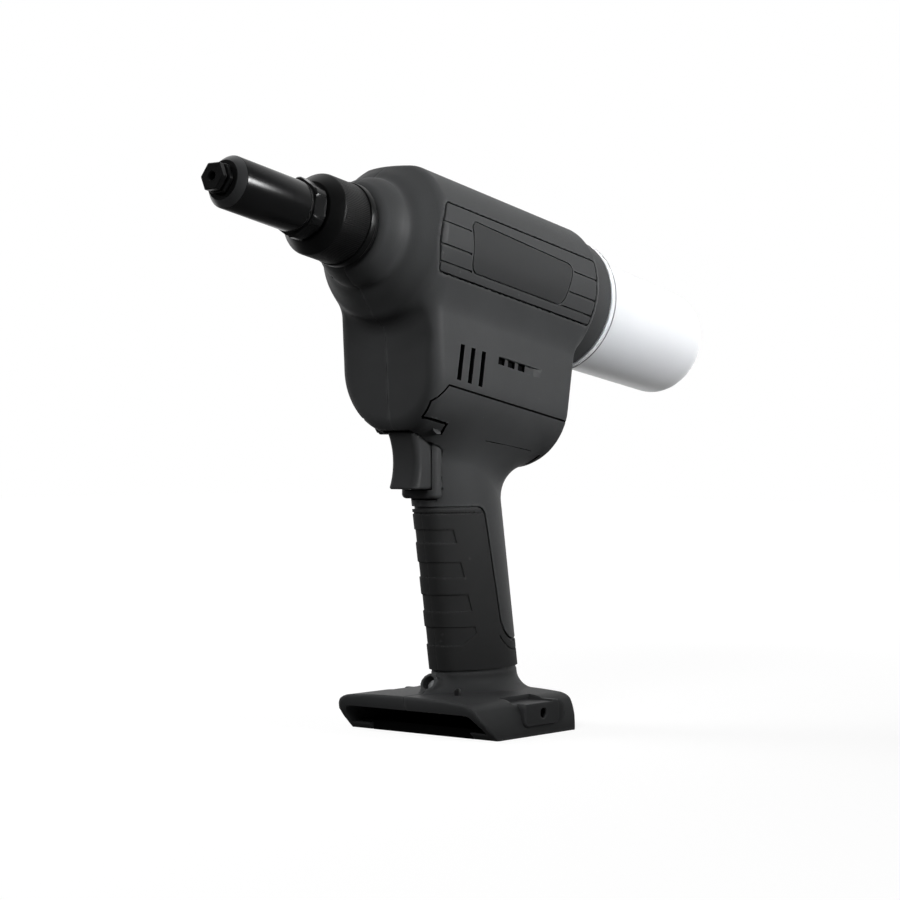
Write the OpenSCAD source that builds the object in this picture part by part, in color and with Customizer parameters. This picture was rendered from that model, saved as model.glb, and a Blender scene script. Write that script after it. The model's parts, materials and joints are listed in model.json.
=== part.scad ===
// Battery rivet tool: nose with pulling jaws, ball screw drive, pistol grip and slide-pack foot.
// The tool stands on its foot at Z = 0, the nose points to -X, and the left side faces -Y.
// Stations are distances along the pull axis, measured rearward from the sleeve shoulder.

/* [Overall] */
// Height of the pull axis above the foot, at the sleeve shoulder
axis_height = 231.4; // [215:0.1:245]
// Nose-up angle of the pull axis when the tool stands on its foot
barrel_pitch = 10; // [9:0.5:11]
// Wall thickness of the moulded housing
wall = 2.6; // [2.2:0.1:3]

/* [Nose] */
// Outer radius of the nose sleeve
sleeve_r = 11; // [10.8:0.1:11.3]
// Width across the flats of the nosepiece
nosepiece_flats = 11; // [10:0.5:12]
// Bore radius of the nosepiece, for the rivet mandrel
mandrel_bore_r = 1.7; // [1.2:0.1:2]
// Outer radius of the collar nut
collar_r = 17.6; // [17:0.1:18]
// Working stroke of the jaws
stroke = 25; // [18:1:25]

/* [Body] */
// Radius of the round barrel
barrel_r = 35; // [33:0.5:38]
// Depth of the flat cut along the barrel's top
flat_depth = 3; // [2:0.1:4]
// Half width of the motor house under the barrel
motor_house_half = 28; // [27.5:0.1:29]
// Distance from the motor axis to the motor house's underside
motor_room = 34.5; // [34:0.5:36]

/* [Handle] */
// Half depth of the grip, front to back
grip_half_depth = 25.5; // [25:0.1:26]
// Half width of the grip
grip_half_width = 14.8; // [14.5:0.1:15.5]
// Rearward slope of the grip, going down
grip_rake = 9.3; // [8.5:0.1:10]
// Travel of the trigger
trigger_travel = 6; // [4:0.5:6]

/* [Foot] */
// Half width of the foot at its base
foot_half = 42; // [41:0.5:43]
// Height of the foot's top plate
foot_height = 19; // [18.5:0.5:20]
// Half width of the gap between the battery rails
rail_gap_half = 29; // [27:0.5:30]

/* [Collector] */
// Radius of the collector bottle at its closed end
bottle_end_r = 25.3; // [24.5:0.1:26]
// Station of the bottle's closed end
bottle_end = 310; // [300:1:315]

/* [Hidden] */
$fn = 96;

// clearances
slip = 0.05;
free = 0.3;
eps = 0.01;
// overlap that joins the stretches of one piece
lap = 0.5;
// reach of a cut that passes the whole part
far = 400;

// stations of the nose
nose_tip = -9.7;
nosepiece_head = 2.8;
nosepiece_ring_from = -6;
nosepiece_shank_r = 4;
nosepiece_tail = 3;
sleeve_front = -3.6;
sleeve_front_r = 8.3;
flange_from = 38.5;
flange_to = 45.5;
flange_flats = 23.5;
collar_front_r = 13.2;
collar_from = 46.5;
collar_chamfer_to = 51;
collar_knurl_to = 66.3;
collar_to = 70.5;
collar_band_r = collar_r + 0.6;
seal_to = 72;
adapter_from = collar_from + 0.5;

// stations of the body
barrel_flat = barrel_r - flat_depth;
neck_from = seal_to;
neck_profile = [[18.4, neck_from], [20.2, 75], [22.3, 80], [23.4, 83.5], [26, 89], [30.5, 94.5],
    [barrel_r, 98.5], [barrel_r + 5, 104]];
flare_to = 104;
barrel_to = 207;
motor_house_from = 80;
motor_house_to = 201.5;
motor_house_corner = 26;
front_wall_x = 96;
front_edge_r = 8;

// side panel and badge
panel_from = 96.8;
panel_to = 204;
panel_half = 14.8;
panel_depth = 1.6;
badge_from = 119;
badge_to = 189;
badge_half = 10.6;
badge_depth = 0.8;

// vents in the motor house
vent_high = -41;
slot_from = 121.7;
slot_pitch = 7.4;
slot_width = 1.7;
slot_length = 15.5;
cell_from = 148.5;
cell_pitch = 5;
cell_width = 3.6;
cell_height = 3;

// pull train
adapter_r = 12.4;
adapter_neck_r = 14.2;
adapter_bore = 8.6;
adapter_flange_r = 24;
adapter_flange_from = 98;
adapter_flange_to = 103;
spigot_r = 10.6;
spigot_to = 60;
jaw_case_r = 8.2;
jaw_case_from = 5;
jaw_case_to = 42;
jaw_cone_angle = 12;
jaw_front_r = 3.6;
jaw_bite_r = 1.2;
jaw_from = 9;
jaw_len = 12;
jaw_open = 2;
jaw_gap = 0.8;
jaw_slip = 0.05;
pusher_gap = 0.3;
pusher_stem_r = 4.2;
pusher_bore = 2.4;
pusher_head = 5;
pusher_len = 12.3;
spindle_from = 36;
spindle_r = 6.6;
screw_r = 9;
screw_from = 118;
tube_r = 3;
tube_bore = 2.3;
tube_from = 37;

// ball nut and gear plates
nut_r = 14;
nut_from = 174;
nut_to = 197;
gear_from = 181;
gear_to = 190;
front_plate_from = 164;
front_plate_to = 171;
rear_plate_from = 191.5;
rear_plate_to = 196;
thrust_from = front_plate_to - 2;
thrust_to = nut_from - slip;
bearing_r = 18;
thrust_bore = screw_r + 1.5;
plate_gap = 0.15;

// gears
nut_teeth = 56;
pinion_teeth = 36;
gear_tip = 0.95;
gear_root = 1.2;
gear_room = 3.45;
gear_module = (barrel_r - wall - gear_room) / (nut_teeth / 2 + gear_tip);
motor_drop = gear_module * (nut_teeth + pinion_teeth) / 2;
motor_house_depth = motor_drop + motor_room;
planet_module = 0.75;
sun_teeth = 16;
planet_teeth = 20;
ring_teeth = sun_teeth + 2 * planet_teeth;
planet_orbit = planet_module * (sun_teeth + planet_teeth) / 2;
backlash = 0.2;
pressure_angle = 20;

// motor and gearbox
ring_case_r = 24;
motor_r = 22;
motor_wall = 2.5;
motor_from = 115;
motor_to = 152;
ring_to = front_plate_from;
planet_from = 154.6;
planet_to = 160;
planet_pin_r = 2;
carrier_from = 160.4;
carrier_to = 163.4;
carrier_r = 18.5;
carrier_shaft_r = 6;
carrier_stub_r = 4;
motor_shaft_r = 2.5;
rotor_core_r = 17;
fan_r = 14;
fan_from = 111.7;
fan_to = 114;
fan_blades = 9;
fan_blade = 1;
motor_ribs = [119, 143];
rib = 2.5;

// rear end
rear_ring_r = barrel_r - 3.1;
rear_ring_bore = rear_ring_r - 7.9;
rear_ring_to = 221.3;
spindle_exit_r = 12;
spindle_to = rear_ring_to - stroke - free;
tube_to = spindle_to + 4;
flange_r = rear_ring_r - 0.3;
bottle_flange_to = 224.6;
bottle_seal_to = 225.3;
bottle_wall = 2;
bottle_neck_from = 213;
bottle_front_r = bottle_end_r + 1.7;
bottle_edge_r = 5;

// the nosepiece tip and the bottle's end set the middle of the part's length
nose_x = nose_tip * cos(barrel_pitch) - nosepiece_flats / 2 * sin(barrel_pitch);
tail_x = (bottle_end - bottle_edge_r) * cos(barrel_pitch)
    + (bottle_end_r - bottle_edge_r) * sin(barrel_pitch) + bottle_edge_r;
axis_x = -(nose_x + tail_x) / 2;

// handle: its datum is the middle of the grip's top, which hangs on the pull axis
grip_x = axis_x + 143.9;
grip_z = axis_height - motor_house_depth - 52.2;
grip_foot_gap = 7.4;
grip_end_r = 10;
grip_top = 46;
grip_wall = 4.4;
rubber = 1.6;
rubber_high = grip_z + 0.6;
rubber_low = foot_height + grip_foot_gap;
rubber_bottom = -(grip_z - rubber_low) / cos(grip_rake);
grip_bottom = rubber_bottom - 9;
grip_floor = rubber_bottom + 2;
grip_ring_inset = 0.7;
strip_lean = 4.3;
strip_front = 0.8;
strip_bottom = 0.86 * rubber_bottom;
strip_corner = 14;
pads = 4;
pad_depth = 0.6;
pad_pitch = 0.2 * (rubber_high - rubber_low);
pad_height = pad_pitch / 2;
pad_high = rubber_high - 9.7;
pad_rear = -17;
pad_rear_step = 1.8;
web_inset = 4;
web_r = 16;
web_height = 26;
web_drop = 4;

// trigger, bezel and switch
trigger_half = 8;
trigger_edge_r = 4;
trigger_low = grip_z + 8.8;
trigger_mid = grip_z + 20.3;
trigger_top = grip_z + 33.9;
trigger_back = grip_x - 23;
trigger_tip = grip_x - 40.3;
trigger_crown = grip_x - 42.5;
trigger_waist = grip_x - 36.7;
stem_r = 3;
stem_in = 4;
spring_wire = 0.5;
spring_turns = 5;
bezel_half = 10.5;
bezel_low = grip_z + 4.3;
bezel_high = grip_z + 29.3;
bezel_front = grip_x - 30;
bezel_edge_r = 4;
pocket_front = bezel_front - 12;
bezel_back = grip_x - 21;
switch_front = grip_x - 12;
switch_back = grip_x + 7;
switch_half = 7.2;
cradle_gap = 3.5;
cradle_length = 12;
switch_low = grip_z + 6.3;
switch_high = grip_z + 27.3;

// foot: its datum is where the grip's middle line meets the foot
foot_x = grip_x + (grip_z - foot_height) * tan(grip_rake);
foot_rear = foot_x + 19;
foot_nose_low = foot_x - 37;
foot_nose_mid = foot_x - 49.5;
foot_nose_high = foot_x - 52.5;
foot_shoulder = 11;
foot_lift = 40;
foot_shoulder_half = foot_half - 5.5;
foot_crown_half = foot_half - 13;
rail_height = 3;
slot_height = 14;
slot_corner = 4;
slot_half = foot_half - 4;
slot_top_half = foot_shoulder_half - 3.4;
slot_rear = foot_rear - 3;
cover_thick = 1.2;
cover_gap = 0.3;
cover_lip = 3;
hook_x = foot_x - 7;
hook_z = 9.6;
hook_half_length = 15;
hook_half_height = 5.2;
hook_face = foot_half - 1;
hook_depth = 7;
hook_corner = 3.5;
hook_thread_r = 2.1;
hook_insert_r = 3.2;
lamp_x = foot_x - 35;
lamp_z = 20.5;
lamp_tilt = 35;
lamp_r = 3;
lamp_len = 6;
charge_lamp_x = foot_x - 30;
charge_lamp_y = -14;
charge_lamp_r = 1.5;
block_front = slot_rear - 19;
block_half = 15;
block_low = 5;
wire_back = 6;
wire_r = 3.5;
wire_rise = 8;
blade_thick = 0.8;
blade_in = 10;
blade_front = block_front - 18;
blade_places = [-10, -4, 4, 10];

// housing screws: station and height on the body, then height on the grip
screw_high = barrel_r - 12;
screw_low = 6.2 - motor_house_depth;
body_screws = [[116, screw_high], [152, screw_high], [128, screw_low], [186, screw_low]];
grip_screws = [0.17 * rubber_bottom, 0.915 * rubber_bottom];
grip_screw_x = 2;
screw_head_r = 3.4;
screw_head = 2.8;
screw_shank_r = 1.9;
screw_len = 22;
screw_gap = 0.2;
boss_r = 4.2;

// control board between the grip screws
board_gap = 2;
board_rest = 5;
board_high = grip_screws[0] - boss_r - board_gap;
board_low = grip_screws[1] + boss_r + board_gap;
board_half = 15;
board_y = 2;
board_thick = 1.6;
body_screw_seat = 15;
grip_screw_seat = 9;

// Helpers

// places a piece that is drawn along the pull axis
module on_axis() {
    translate([axis_x, 0, axis_height]) rotate([0, barrel_pitch, 0]) children();
}

// places a piece that is drawn along the motor axis
module on_motor() {
    on_axis() translate([0, 0, -motor_drop]) children();
}

// places a piece that is drawn along the grip
module on_grip() {
    translate([grip_x, 0, grip_z]) rotate([0, -grip_rake, 0]) children();
}

// turns a profile of [radius, station] points about the axis
module turned(profile) {
    rotate([0, 90, 0]) rotate_extrude() polygon(profile);
}

// a round bar between two stations
module rod(r, from, to) {
    translate([from, 0, 0]) rotate([0, 90, 0]) cylinder(r = r, h = to - from);
}

// a tube between two stations
module tube(r_out, r_in, from, to) {
    difference() {
        rod(r_out, from, to);
        rod(r_in, from - 1, to + 1);
    }
}

// a hexagon bar with level flats, between two stations
module hex_bar(flats, from, to) {
    translate([from, 0, 0]) rotate([0, 90, 0]) rotate(30)
        cylinder(r = flats / 2 / cos(30), h = to - from, $fn = 6);
}

// draws a section of [side, height] along the axis
module along(from, to) {
    translate([from, 0, 0]) rotate([90, 0, 90]) linear_extrude(to - from) children();
}

// draws a side view of [x, z] across the width
module across(from, to) {
    translate([0, to, 0]) rotate([90, 0, 0]) linear_extrude(to - from) children();
}

// keeps the left or right half
module half(side) {
    intersection() {
        children();
        translate([-far, side < 0 ? -far : 0, -far]) cube([2 * far, far, 2 * far]);
    }
}

// the slab between two heights
module level(from, to) {
    translate([-far, -far, from]) cube([2 * far, 2 * far, to - from]);
}

// plan of a block with two rounded front corners
module nose_plan(front, back, half_w, r) {
    translate([front, r - half_w]) square([back - front, 2 * (half_w - r)]);
    translate([front + r, -half_w]) square([back - front - r, 2 * half_w]);
    for (side = [-1, 1]) translate([front + r, side * (half_w - r)]) circle(r);
}

// an oval of four arcs with its long axis along x
module oval(a, b, r) {
    reach = a - r;
    side_r = (reach * reach + b * b - r * r) / (2 * (b - r));
    drop = side_r - b;
    join = reach * side_r / (side_r - r);
    for (end = [-1, 1]) translate([end * reach, 0]) circle(r);
    intersection() {
        translate([0, -drop]) circle(side_r, $fn = 180);
        translate([0, drop]) circle(side_r, $fn = 180);
        square([2 * join, 2 * b], center = true);
    }
}

// a rectangle with rounded corners, about its middle
module rounded(length, height, r) {
    square([length - 2 * r, height], center = true);
    square([length, height - 2 * r], center = true);
    for (x = [-1, 1], y = [-1, 1])
        translate([x * (length / 2 - r), y * (height / 2 - r)]) circle(r, $fn = 32);
}

// involute of the angle whose cosine is given, in degrees
function inv(c) = let (a = acos(c)) tan(a) * 180 / PI - a;

// half the angle of a tooth at radius r
function tooth_half(r, teeth, m, slack) =
    let (pitch_r = m * teeth / 2, base = pitch_r * cos(pressure_angle))
    90 / teeth - slack / pitch_r * 90 / PI + inv(cos(pressure_angle)) - inv(min(1, base / r));

// outline of a spur gear with one tooth on the x axis
module gear_outline(teeth, m, slack, tip = gear_tip, root = gear_root) {
    pitch_r = m * teeth / 2;
    radii = [pitch_r - root * m, pitch_r - 0.5 * m, pitch_r, pitch_r + 0.5 * m, pitch_r + tip * m];
    last = len(radii) - 1;
    polygon([for (t = [0 : teeth - 1], k = [0 : 2 * last + 1])
        let (i = k <= last ? k : 2 * last + 1 - k,
            side = k <= last ? -1 : 1,
            a = t * 360 / teeth + side * tooth_half(radii[i], teeth, m, slack))
        radii[i] * [cos(a), sin(a)]]);
}

// a coil spring along x as one unbroken tube
module coil(r, wire, turns, length) {
    rings = 8;
    sides = 6;
    count = turns * rings;
    rise = length - 2 * wire;
    echo(coil_gap = rise / turns - 2 * wire);
    points = [for (i = [0 : count], j = [0 : sides - 1])
        let (a = i * 360 / rings, b = j * 360 / sides, reach = r + wire * cos(b))
        [wire + i / count * rise + wire * sin(b), reach * cos(a), reach * sin(a)]];
    faces = concat(
        [[for (j = [0 : sides - 1]) j]],
        [for (i = [0 : count - 1], j = [0 : sides - 1])
            let (p = i * sides + j, q = i * sides + (j + 1) % sides) [p, p + sides, q + sides, q]],
        [[for (j = [sides - 1 : -1 : 0]) count * sides + j]]);
    polyhedron(points, faces, convexity = 10);
}

// Housing shapes

// barrel section with its flat top
module barrel_section(inset) {
    r = barrel_r - inset;
    intersection() {
        circle(r, $fn = 180);
        translate([-r, -r]) square([2 * r, r + barrel_flat - inset]);
    }
}

// motor house section, open at the top
module motor_house_section(inset) {
    half_w = motor_house_half - inset;
    depth = motor_house_depth - inset;
    corner = motor_house_corner - inset;
    translate([-half_w, corner - depth]) square([2 * half_w, depth - corner]);
    translate([corner - half_w, -depth]) square([2 * (half_w - corner), depth]);
    for (side = [-1, 1]) translate([side * (half_w - corner), corner - depth]) circle(corner);
}

// motor house in plan, with its rounded front edges
module motor_house_plan(inset) {
    front = axis_x + front_wall_x + inset;
    linear_extrude(far) nose_plan(front, far, motor_house_half - inset, front_edge_r);
}

// the neck and flare that trim the body's front
module neck_trim(inset) {
    turned(concat([[0, neck_from]], [for (p = neck_profile) [p[0] - inset, p[1] + inset / 2]],
        [[far, flare_to + inset / 2], [far, barrel_to], [0, barrel_to]]));
}

// barrel and motor house together
module body_shape(inset) {
    intersection() {
        union() {
            on_axis() along(neck_from, barrel_to - inset) barrel_section(inset);
            intersection() {
                on_axis() along(motor_house_from, motor_house_to - inset) motor_house_section(inset);
                motor_house_plan(inset);
            }
        }
        on_axis() neck_trim(inset);
    }
}

// straight grip
module grip_shape(inset, from, to) {
    on_grip() translate([0, 0, from]) linear_extrude(to - from)
        oval(grip_half_depth - inset, grip_half_width - inset, grip_end_r - inset);
}

// web that carries the grip's back into the motor house
module grip_web() {
    web_half = grip_half_width - web_inset;
    on_grip() across(-web_half, web_half) difference() {
        translate([grip_half_depth - web_inset, web_drop]) square([web_r, web_height]);
        translate([grip_half_depth + web_r - 1, web_drop]) circle(web_r);
    }
}

// section of the foot, from the base over the rounded shoulders
function foot_outline(base, shoulder, crown, low, mid, high) = concat(
    [[-base, low], [base, low]],
    [for (a = [0 : 15 : 90]) [crown + (shoulder - crown) * cos(a), mid + (high - mid) * sin(a)]],
    [for (a = [90 : 15 : 180]) [-crown + (shoulder - crown) * cos(a), mid + (high - mid) * sin(a)]]);

// outer shape of the foot
module foot_shape() {
    intersection() {
        along(-far, foot_rear) polygon(foot_outline(foot_half, foot_shoulder_half, foot_crown_half,
            0, foot_shoulder, foot_height));
        across(-far, far) polygon([[foot_nose_low, 0], [foot_nose_mid, foot_shoulder],
            [foot_nose_high, foot_lift], [foot_rear, foot_lift], [foot_rear, 0]]);
    }
}

// hard core of the handle and the ring under the rubber
module handle_core() {
    intersection() {
        grip_shape(0, grip_bottom, grip_top);
        level(rubber_low, far);
    }
    grip_shape(grip_ring_inset, grip_bottom, 0);
}

// space that the battery slides into
module battery_slot() {
    along(-far, slot_rear) polygon(foot_outline(slot_half, slot_top_half, slot_top_half - slot_corner,
        rail_height, foot_shoulder - 2, slot_height));
    along(-far, slot_rear) translate([-rail_gap_half, -1]) square([2 * rail_gap_half, rail_height + 2]);
}

// rounded seat for the belt hook on the foot's flank
module hook_seat(side) {
    translate([hook_x, side * (hook_face - hook_depth / 2), hook_z]) rotate([90, 0, 0])
        linear_extrude(hook_depth, center = true)
            rounded(2 * hook_half_length, 2 * hook_half_height, hook_corner);
}

// three openings in a row through one side of the motor house
module vent_row(side, first, pitch, width, height) {
    depth = 4 * wall;
    on_axis() for (i = [0 : 2])
        translate([first + i * pitch, side * motor_house_half - depth / 2, vent_high - height])
            cube([width, depth, height]);
}

// cooling slots and the row of small cells beside them
module vents(side) {
    vent_row(side, slot_from, slot_pitch, slot_width, slot_length);
    vent_row(side, cell_from, cell_pitch, cell_width, cell_height);
}

// recess for the rib panel on the barrel's flank
module panel_block(side, from, to, half_h, depth, reach) {
    intersection() {
        tube(barrel_r + reach, barrel_r - depth, from, to);
        translate([from - 1, side < 0 ? -far : 0, -half_h]) cube([to - from + 2, far, 2 * half_h]);
    }
}

// inner posts that take the housing screws
module screw_posts() {
    for (p = body_screws) on_axis() translate([p[0], 0, p[1]]) rotate([90, 0, 0])
        cylinder(r = boss_r, h = 2 * motor_house_half - 2, center = true);
    for (z = grip_screws) on_grip() translate([grip_screw_x, 0, z]) rotate([90, 0, 0])
        cylinder(r = boss_r, h = 2 * grip_half_width - 6, center = true);
}

// draws a piece at each housing screw, with the screw's seat as the piece's own zero
module at_screws() {
    for (p = body_screws) on_axis() translate([p[0], body_screw_seat, p[1]]) children();
    for (z = grip_screws) on_grip() translate([grip_screw_x, grip_screw_seat, z]) children();
}

// shank of a screw, which is also the hole that it cuts
module screw_shank() {
    rotate([90, 0, 0]) cylinder(r = screw_shank_r, h = screw_len);
}

// way in for a screw's head
module screw_way() {
    rotate([-90, 0, 0]) cylinder(r = screw_head_r + screw_gap, h = motor_house_half);
}

// Housing pieces

// cavity that takes the drive, the switch and the board
module housing_cavity() {
    intersection() {
        body_shape(wall);
        on_axis() along(adapter_flange_from, barrel_to) square(far, center = true);
    }
    grip_shape(grip_wall, grip_floor, grip_top);
}

// ribs and posts that hold the pieces inside
module housing_ribs(side) {
    intersection() {
        body_shape(eps);
        union() {
            on_axis() tube(barrel_r, adapter_neck_r + 2, adapter_flange_to, adapter_flange_to + rib);
            for (s = motor_ribs) on_motor() difference() {
                along(s, s + rib) translate([-far / 2, -far]) square([far, far + motor_r]);
                rod(motor_r, s - 1, s + rib + 1);
            }
            screw_posts();
        }
    }
    switch_cradle(side);
    board_cradle(side);
}

// block between the switch and the handle's side
module switch_cradle(side) {
    intersection() {
        grip_shape(grip_wall - 1, grip_floor, grip_top);
        translate([switch_front + cradle_gap, side < 0 ? -grip_half_width : switch_half, switch_low])
            cube([cradle_length, grip_half_width - switch_half, switch_high - switch_low - cradle_gap]);
    }
}

// two blocks that carry the board on the right side
module board_cradle(side) {
    if (side > 0) intersection() {
        grip_shape(grip_wall - 1, grip_floor, grip_top);
        on_grip() for (z = [board_low + board_gap, board_high - board_gap - board_rest])
            translate([-board_half / 2, board_y + board_thick, z])
                cube([board_half, grip_half_width, board_rest]);
    }
}

// holes and recesses that open through the shell
module housing_openings(side) {
    on_axis() rod(adapter_neck_r, neck_from - 1, adapter_flange_from + 1);
    on_axis() rod(spindle_exit_r, barrel_to - 2 * wall, barrel_to + 1);
    on_axis() panel_block(side, panel_from, panel_to, panel_half, panel_depth, 1);
    rubber_shell(side);
    bezel_pocket();
    battery_slot();
    vents(side);
    hook_bore(side);
    lamp_bore(lamp_r);
    charge_lamp_shape();
    wire_hole();
}

// one half of the housing
module housing(side) {
    difference() {
        half(side) {
            difference() {
                union() {
                    body_shape(0);
                    handle_core();
                    grip_web();
                    foot_shape();
                    lamp_house();
                    hook_seat(side);
                }
                housing_cavity();
            }
            housing_ribs(side);
        }
        housing_openings(side);
        at_screws() {
            screw_shank();
            screw_way();
        }
    }
}

module left_housing() color("#303133") housing(-1);

module right_housing() color("#303133") housing(1);

// ribbed panel on the barrel's flank
module panel(side) {
    groove = 0.7;
    rib_pitch = 0.6 * panel_half;
    on_axis() difference() {
        panel_block(side, panel_from, panel_to, panel_half, panel_depth, 0);
        panel_block(side, badge_from, badge_to, badge_half, badge_depth, 1);
        for (k = [-1 : 1], ends = [[panel_from - 1, badge_from - 2], [badge_to + 2, panel_to + 1]])
            intersection() {
                tube(barrel_r + 1, barrel_r - groove, ends[0], ends[1]);
                translate([ends[0], side < 0 ? -far : 0, k * rib_pitch - groove / 2])
                    cube([ends[1] - ends[0], far, groove]);
            }
    }
}

module left_panel() color("#38393b") panel(-1);

module right_panel() color("#38393b") panel(1);

// bare plate in the middle of the rib panel
module badge(side) {
    on_axis() panel_block(side, badge_from, badge_to, badge_half, badge_depth, 0.2);
}

module left_badge() color("#3f4042") badge(-1);

module right_badge() color("#3f4042") badge(1);

// side view of the hard strip along the back of the grip
module strip_outline() {
    translate([strip_front, 0]) rotate(strip_lean) {
        translate([0, strip_bottom + strip_corner]) square([far, far]);
        translate([strip_corner, strip_bottom]) square([far, far]);
        translate([strip_corner, strip_bottom + strip_corner]) circle(strip_corner);
    }
}

// skin of the grip between two depths below its surface
module grip_skin(outer, inner) {
    difference() {
        grip_shape(outer, grip_bottom, grip_top);
        grip_shape(inner, grip_bottom - 1, grip_top + 1);
    }
}

// soft skin over the front and sides of the grip
module rubber_shell(side) {
    half(side) intersection() {
        difference() {
            grip_skin(0, rubber);
            on_grip() across(-far, far) strip_outline();
        }
        level(rubber_low, rubber_high);
    }
}

// rubber grip with its finger pads
module grip(side) {
    difference() {
        rubber_shell(side);
        for (i = [0 : pads - 1]) intersection() {
            grip_skin(-1, pad_depth);
            level(pad_high - i * pad_pitch - pad_height, pad_high - i * pad_pitch);
            on_grip() translate([pad_rear + i * pad_rear_step - far, -far, -far]) cube([far, 2 * far, 2 * far]);
        }
    }
}

module left_grip() color("#2a2b2c") grip(-1);

module right_grip() color("#2a2b2c") grip(1);

module housing_screws() color("#55575a") at_screws() {
    screw_shank();
    translate([0, -lap, 0]) rotate([-90, 0, 0]) cylinder(r = screw_shank_r, h = 2 * lap);
    rotate([-90, 0, 0]) cylinder(r = screw_head_r, h = screw_head);
}

// Handle pieces

// side view of the trigger
module trigger_outline() {
    hollow_r = 26;
    difference() {
        polygon([[trigger_back, trigger_low], [trigger_tip + 2, trigger_low], [trigger_tip, trigger_low + 2],
            [trigger_crown, trigger_top], [trigger_back, trigger_top]]);
        translate([trigger_waist - hollow_r, trigger_mid]) circle(hollow_r);
    }
}

module trigger() color("#333436") {
    intersection() {
        across(-2 * trigger_half, 2 * trigger_half) trigger_outline();
        linear_extrude(far) nose_plan(trigger_crown, trigger_back, trigger_half, trigger_edge_r);
    }
    translate([0, 0, trigger_mid]) rod(stem_r, trigger_back - lap, switch_front + stem_in);
}

// way through the bezel and the housing for the trigger
module trigger_way(front, back) {
    translate([front, -trigger_half - free, trigger_low - free])
        cube([back - front, 2 * (trigger_half + free), trigger_top - trigger_low + 2 * free]);
}

module trigger_bezel() color("#2d2e30") {
    difference() {
        translate([0, 0, bezel_low]) linear_extrude(bezel_high - bezel_low)
            nose_plan(bezel_front, bezel_back, bezel_half, bezel_edge_r);
        trigger_way(bezel_front - 1, bezel_back + 1);
    }
}

// opening in the handle's front for the bezel and the trigger
module bezel_pocket() {
    translate([pocket_front, -bezel_half, bezel_low])
        cube([bezel_back - pocket_front, 2 * bezel_half, bezel_high - bezel_low]);
    trigger_way(trigger_crown - free, switch_front + 1);
}

module trigger_spring() color("#b5b8bb") {
    translate([trigger_back + free, 0, trigger_mid])
        coil(stem_r + 1.6, spring_wire, spring_turns, switch_front - trigger_back - 2 * free);
}

module switch_body() color("#26282b") difference() {
    translate([switch_front, -switch_half, switch_low])
        cube([switch_back - switch_front, 2 * switch_half, switch_high - switch_low]);
    bore_end = switch_front + stem_in + trigger_travel + 1;
    translate([0, 0, trigger_mid]) rod(stem_r + slip, switch_front - 1, bore_end);
}

module control_board() color("#1f5a36") {
    on_grip() translate([-board_half, board_y, board_low])
        cube([2 * board_half, board_thick, board_high - board_low]);
}

// Foot pieces

// slope in front of the grip that carries the work lamp
module lamp_house() {
    half_w = lamp_r + 5;
    root = foot_height - 3;
    brow = lamp_z + lamp_r;
    across(-half_w, half_w) polygon([[lamp_x - 4 * lamp_r, root], [lamp_x - 3 * lamp_r, foot_height],
        [lamp_x, brow], [lamp_x + 4 * lamp_r, brow + lamp_r], [lamp_x + 7 * lamp_r, root]]);
}

// bore for the lamp, along the lamp's own slope
module lamp_bore(r) {
    translate([lamp_x - lamp_r, 0, lamp_z]) rotate([0, lamp_tilt, 0]) rod(r, -2 * lamp_len, lamp_len);
}

module lamp_lens() color("#d8dde0") {
    translate([lamp_x - lamp_r, 0, lamp_z]) rotate([0, lamp_tilt, 0]) rod(lamp_r, 0, lamp_len);
}

// small lamp that shows the charge, set into the foot's top
module charge_lamp_shape() {
    translate([charge_lamp_x, charge_lamp_y, foot_height - 3]) {
        cylinder(r = charge_lamp_r, h = 3);
        translate([0, 0, 3]) sphere(charge_lamp_r);
    }
}

module charge_lamp() color("#3a3d40") charge_lamp_shape();

// way for the wires from the grip to the terminals
module wire_hole() {
    rise = rubber_low + wire_rise - slot_height;
    translate([foot_x + wire_back, 0, slot_height - 1]) cylinder(r = wire_r, h = rise);
}

module terminal_block() color("#222426") difference() {
    translate([block_front, -block_half, block_low])
        cube([slot_rear - block_front, 2 * block_half, slot_height - block_low]);
    for (y = blade_places) translate([block_front - 1, y - blade_thick / 2, block_low + 2])
        cube([blade_in + 1, blade_thick, slot_height - block_low - 4]);
}

module terminal_blades() color("#c9a24a") {
    for (y = blade_places) translate([blade_front, y - blade_thick / 2, block_low + 2])
        cube([block_front + blade_in - blade_front, blade_thick, slot_height - block_low - 4]);
}

// black sheet on the rails that closes the slot's underside, with a lip between the rails
module slot_cover() color("#17181a") {
    front = foot_nose_low;
    sheet_half = slot_half - 3;
    lip_half = rail_gap_half - cover_gap;
    translate([front, -sheet_half, rail_height])
        cube([slot_rear - cover_gap - front, 2 * sheet_half, cover_thick]);
    translate([front, -lip_half, 0]) cube([cover_lip, 2 * lip_half, rail_height + lap]);
}

// seat of the belt-hook thread
module hook_bore(side) {
    translate([hook_x, side * (hook_face - hook_depth / 2), hook_z]) rotate([90, 0, 0])
        cylinder(r = hook_insert_r, h = hook_depth + 1, center = true);
}

module hook_inserts() color("#8c8f93") {
    sunk = 0.6;
    for (side = [-1, 1]) translate([hook_x, side * (hook_face - hook_depth / 2 - sunk / 2), hook_z])
        rotate([90, 0, 0]) difference() {
            cylinder(r = hook_insert_r, h = hook_depth - sunk, center = true);
            cylinder(r = hook_thread_r, h = hook_depth + 1, center = true);
        }
}

// Nose pieces

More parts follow.
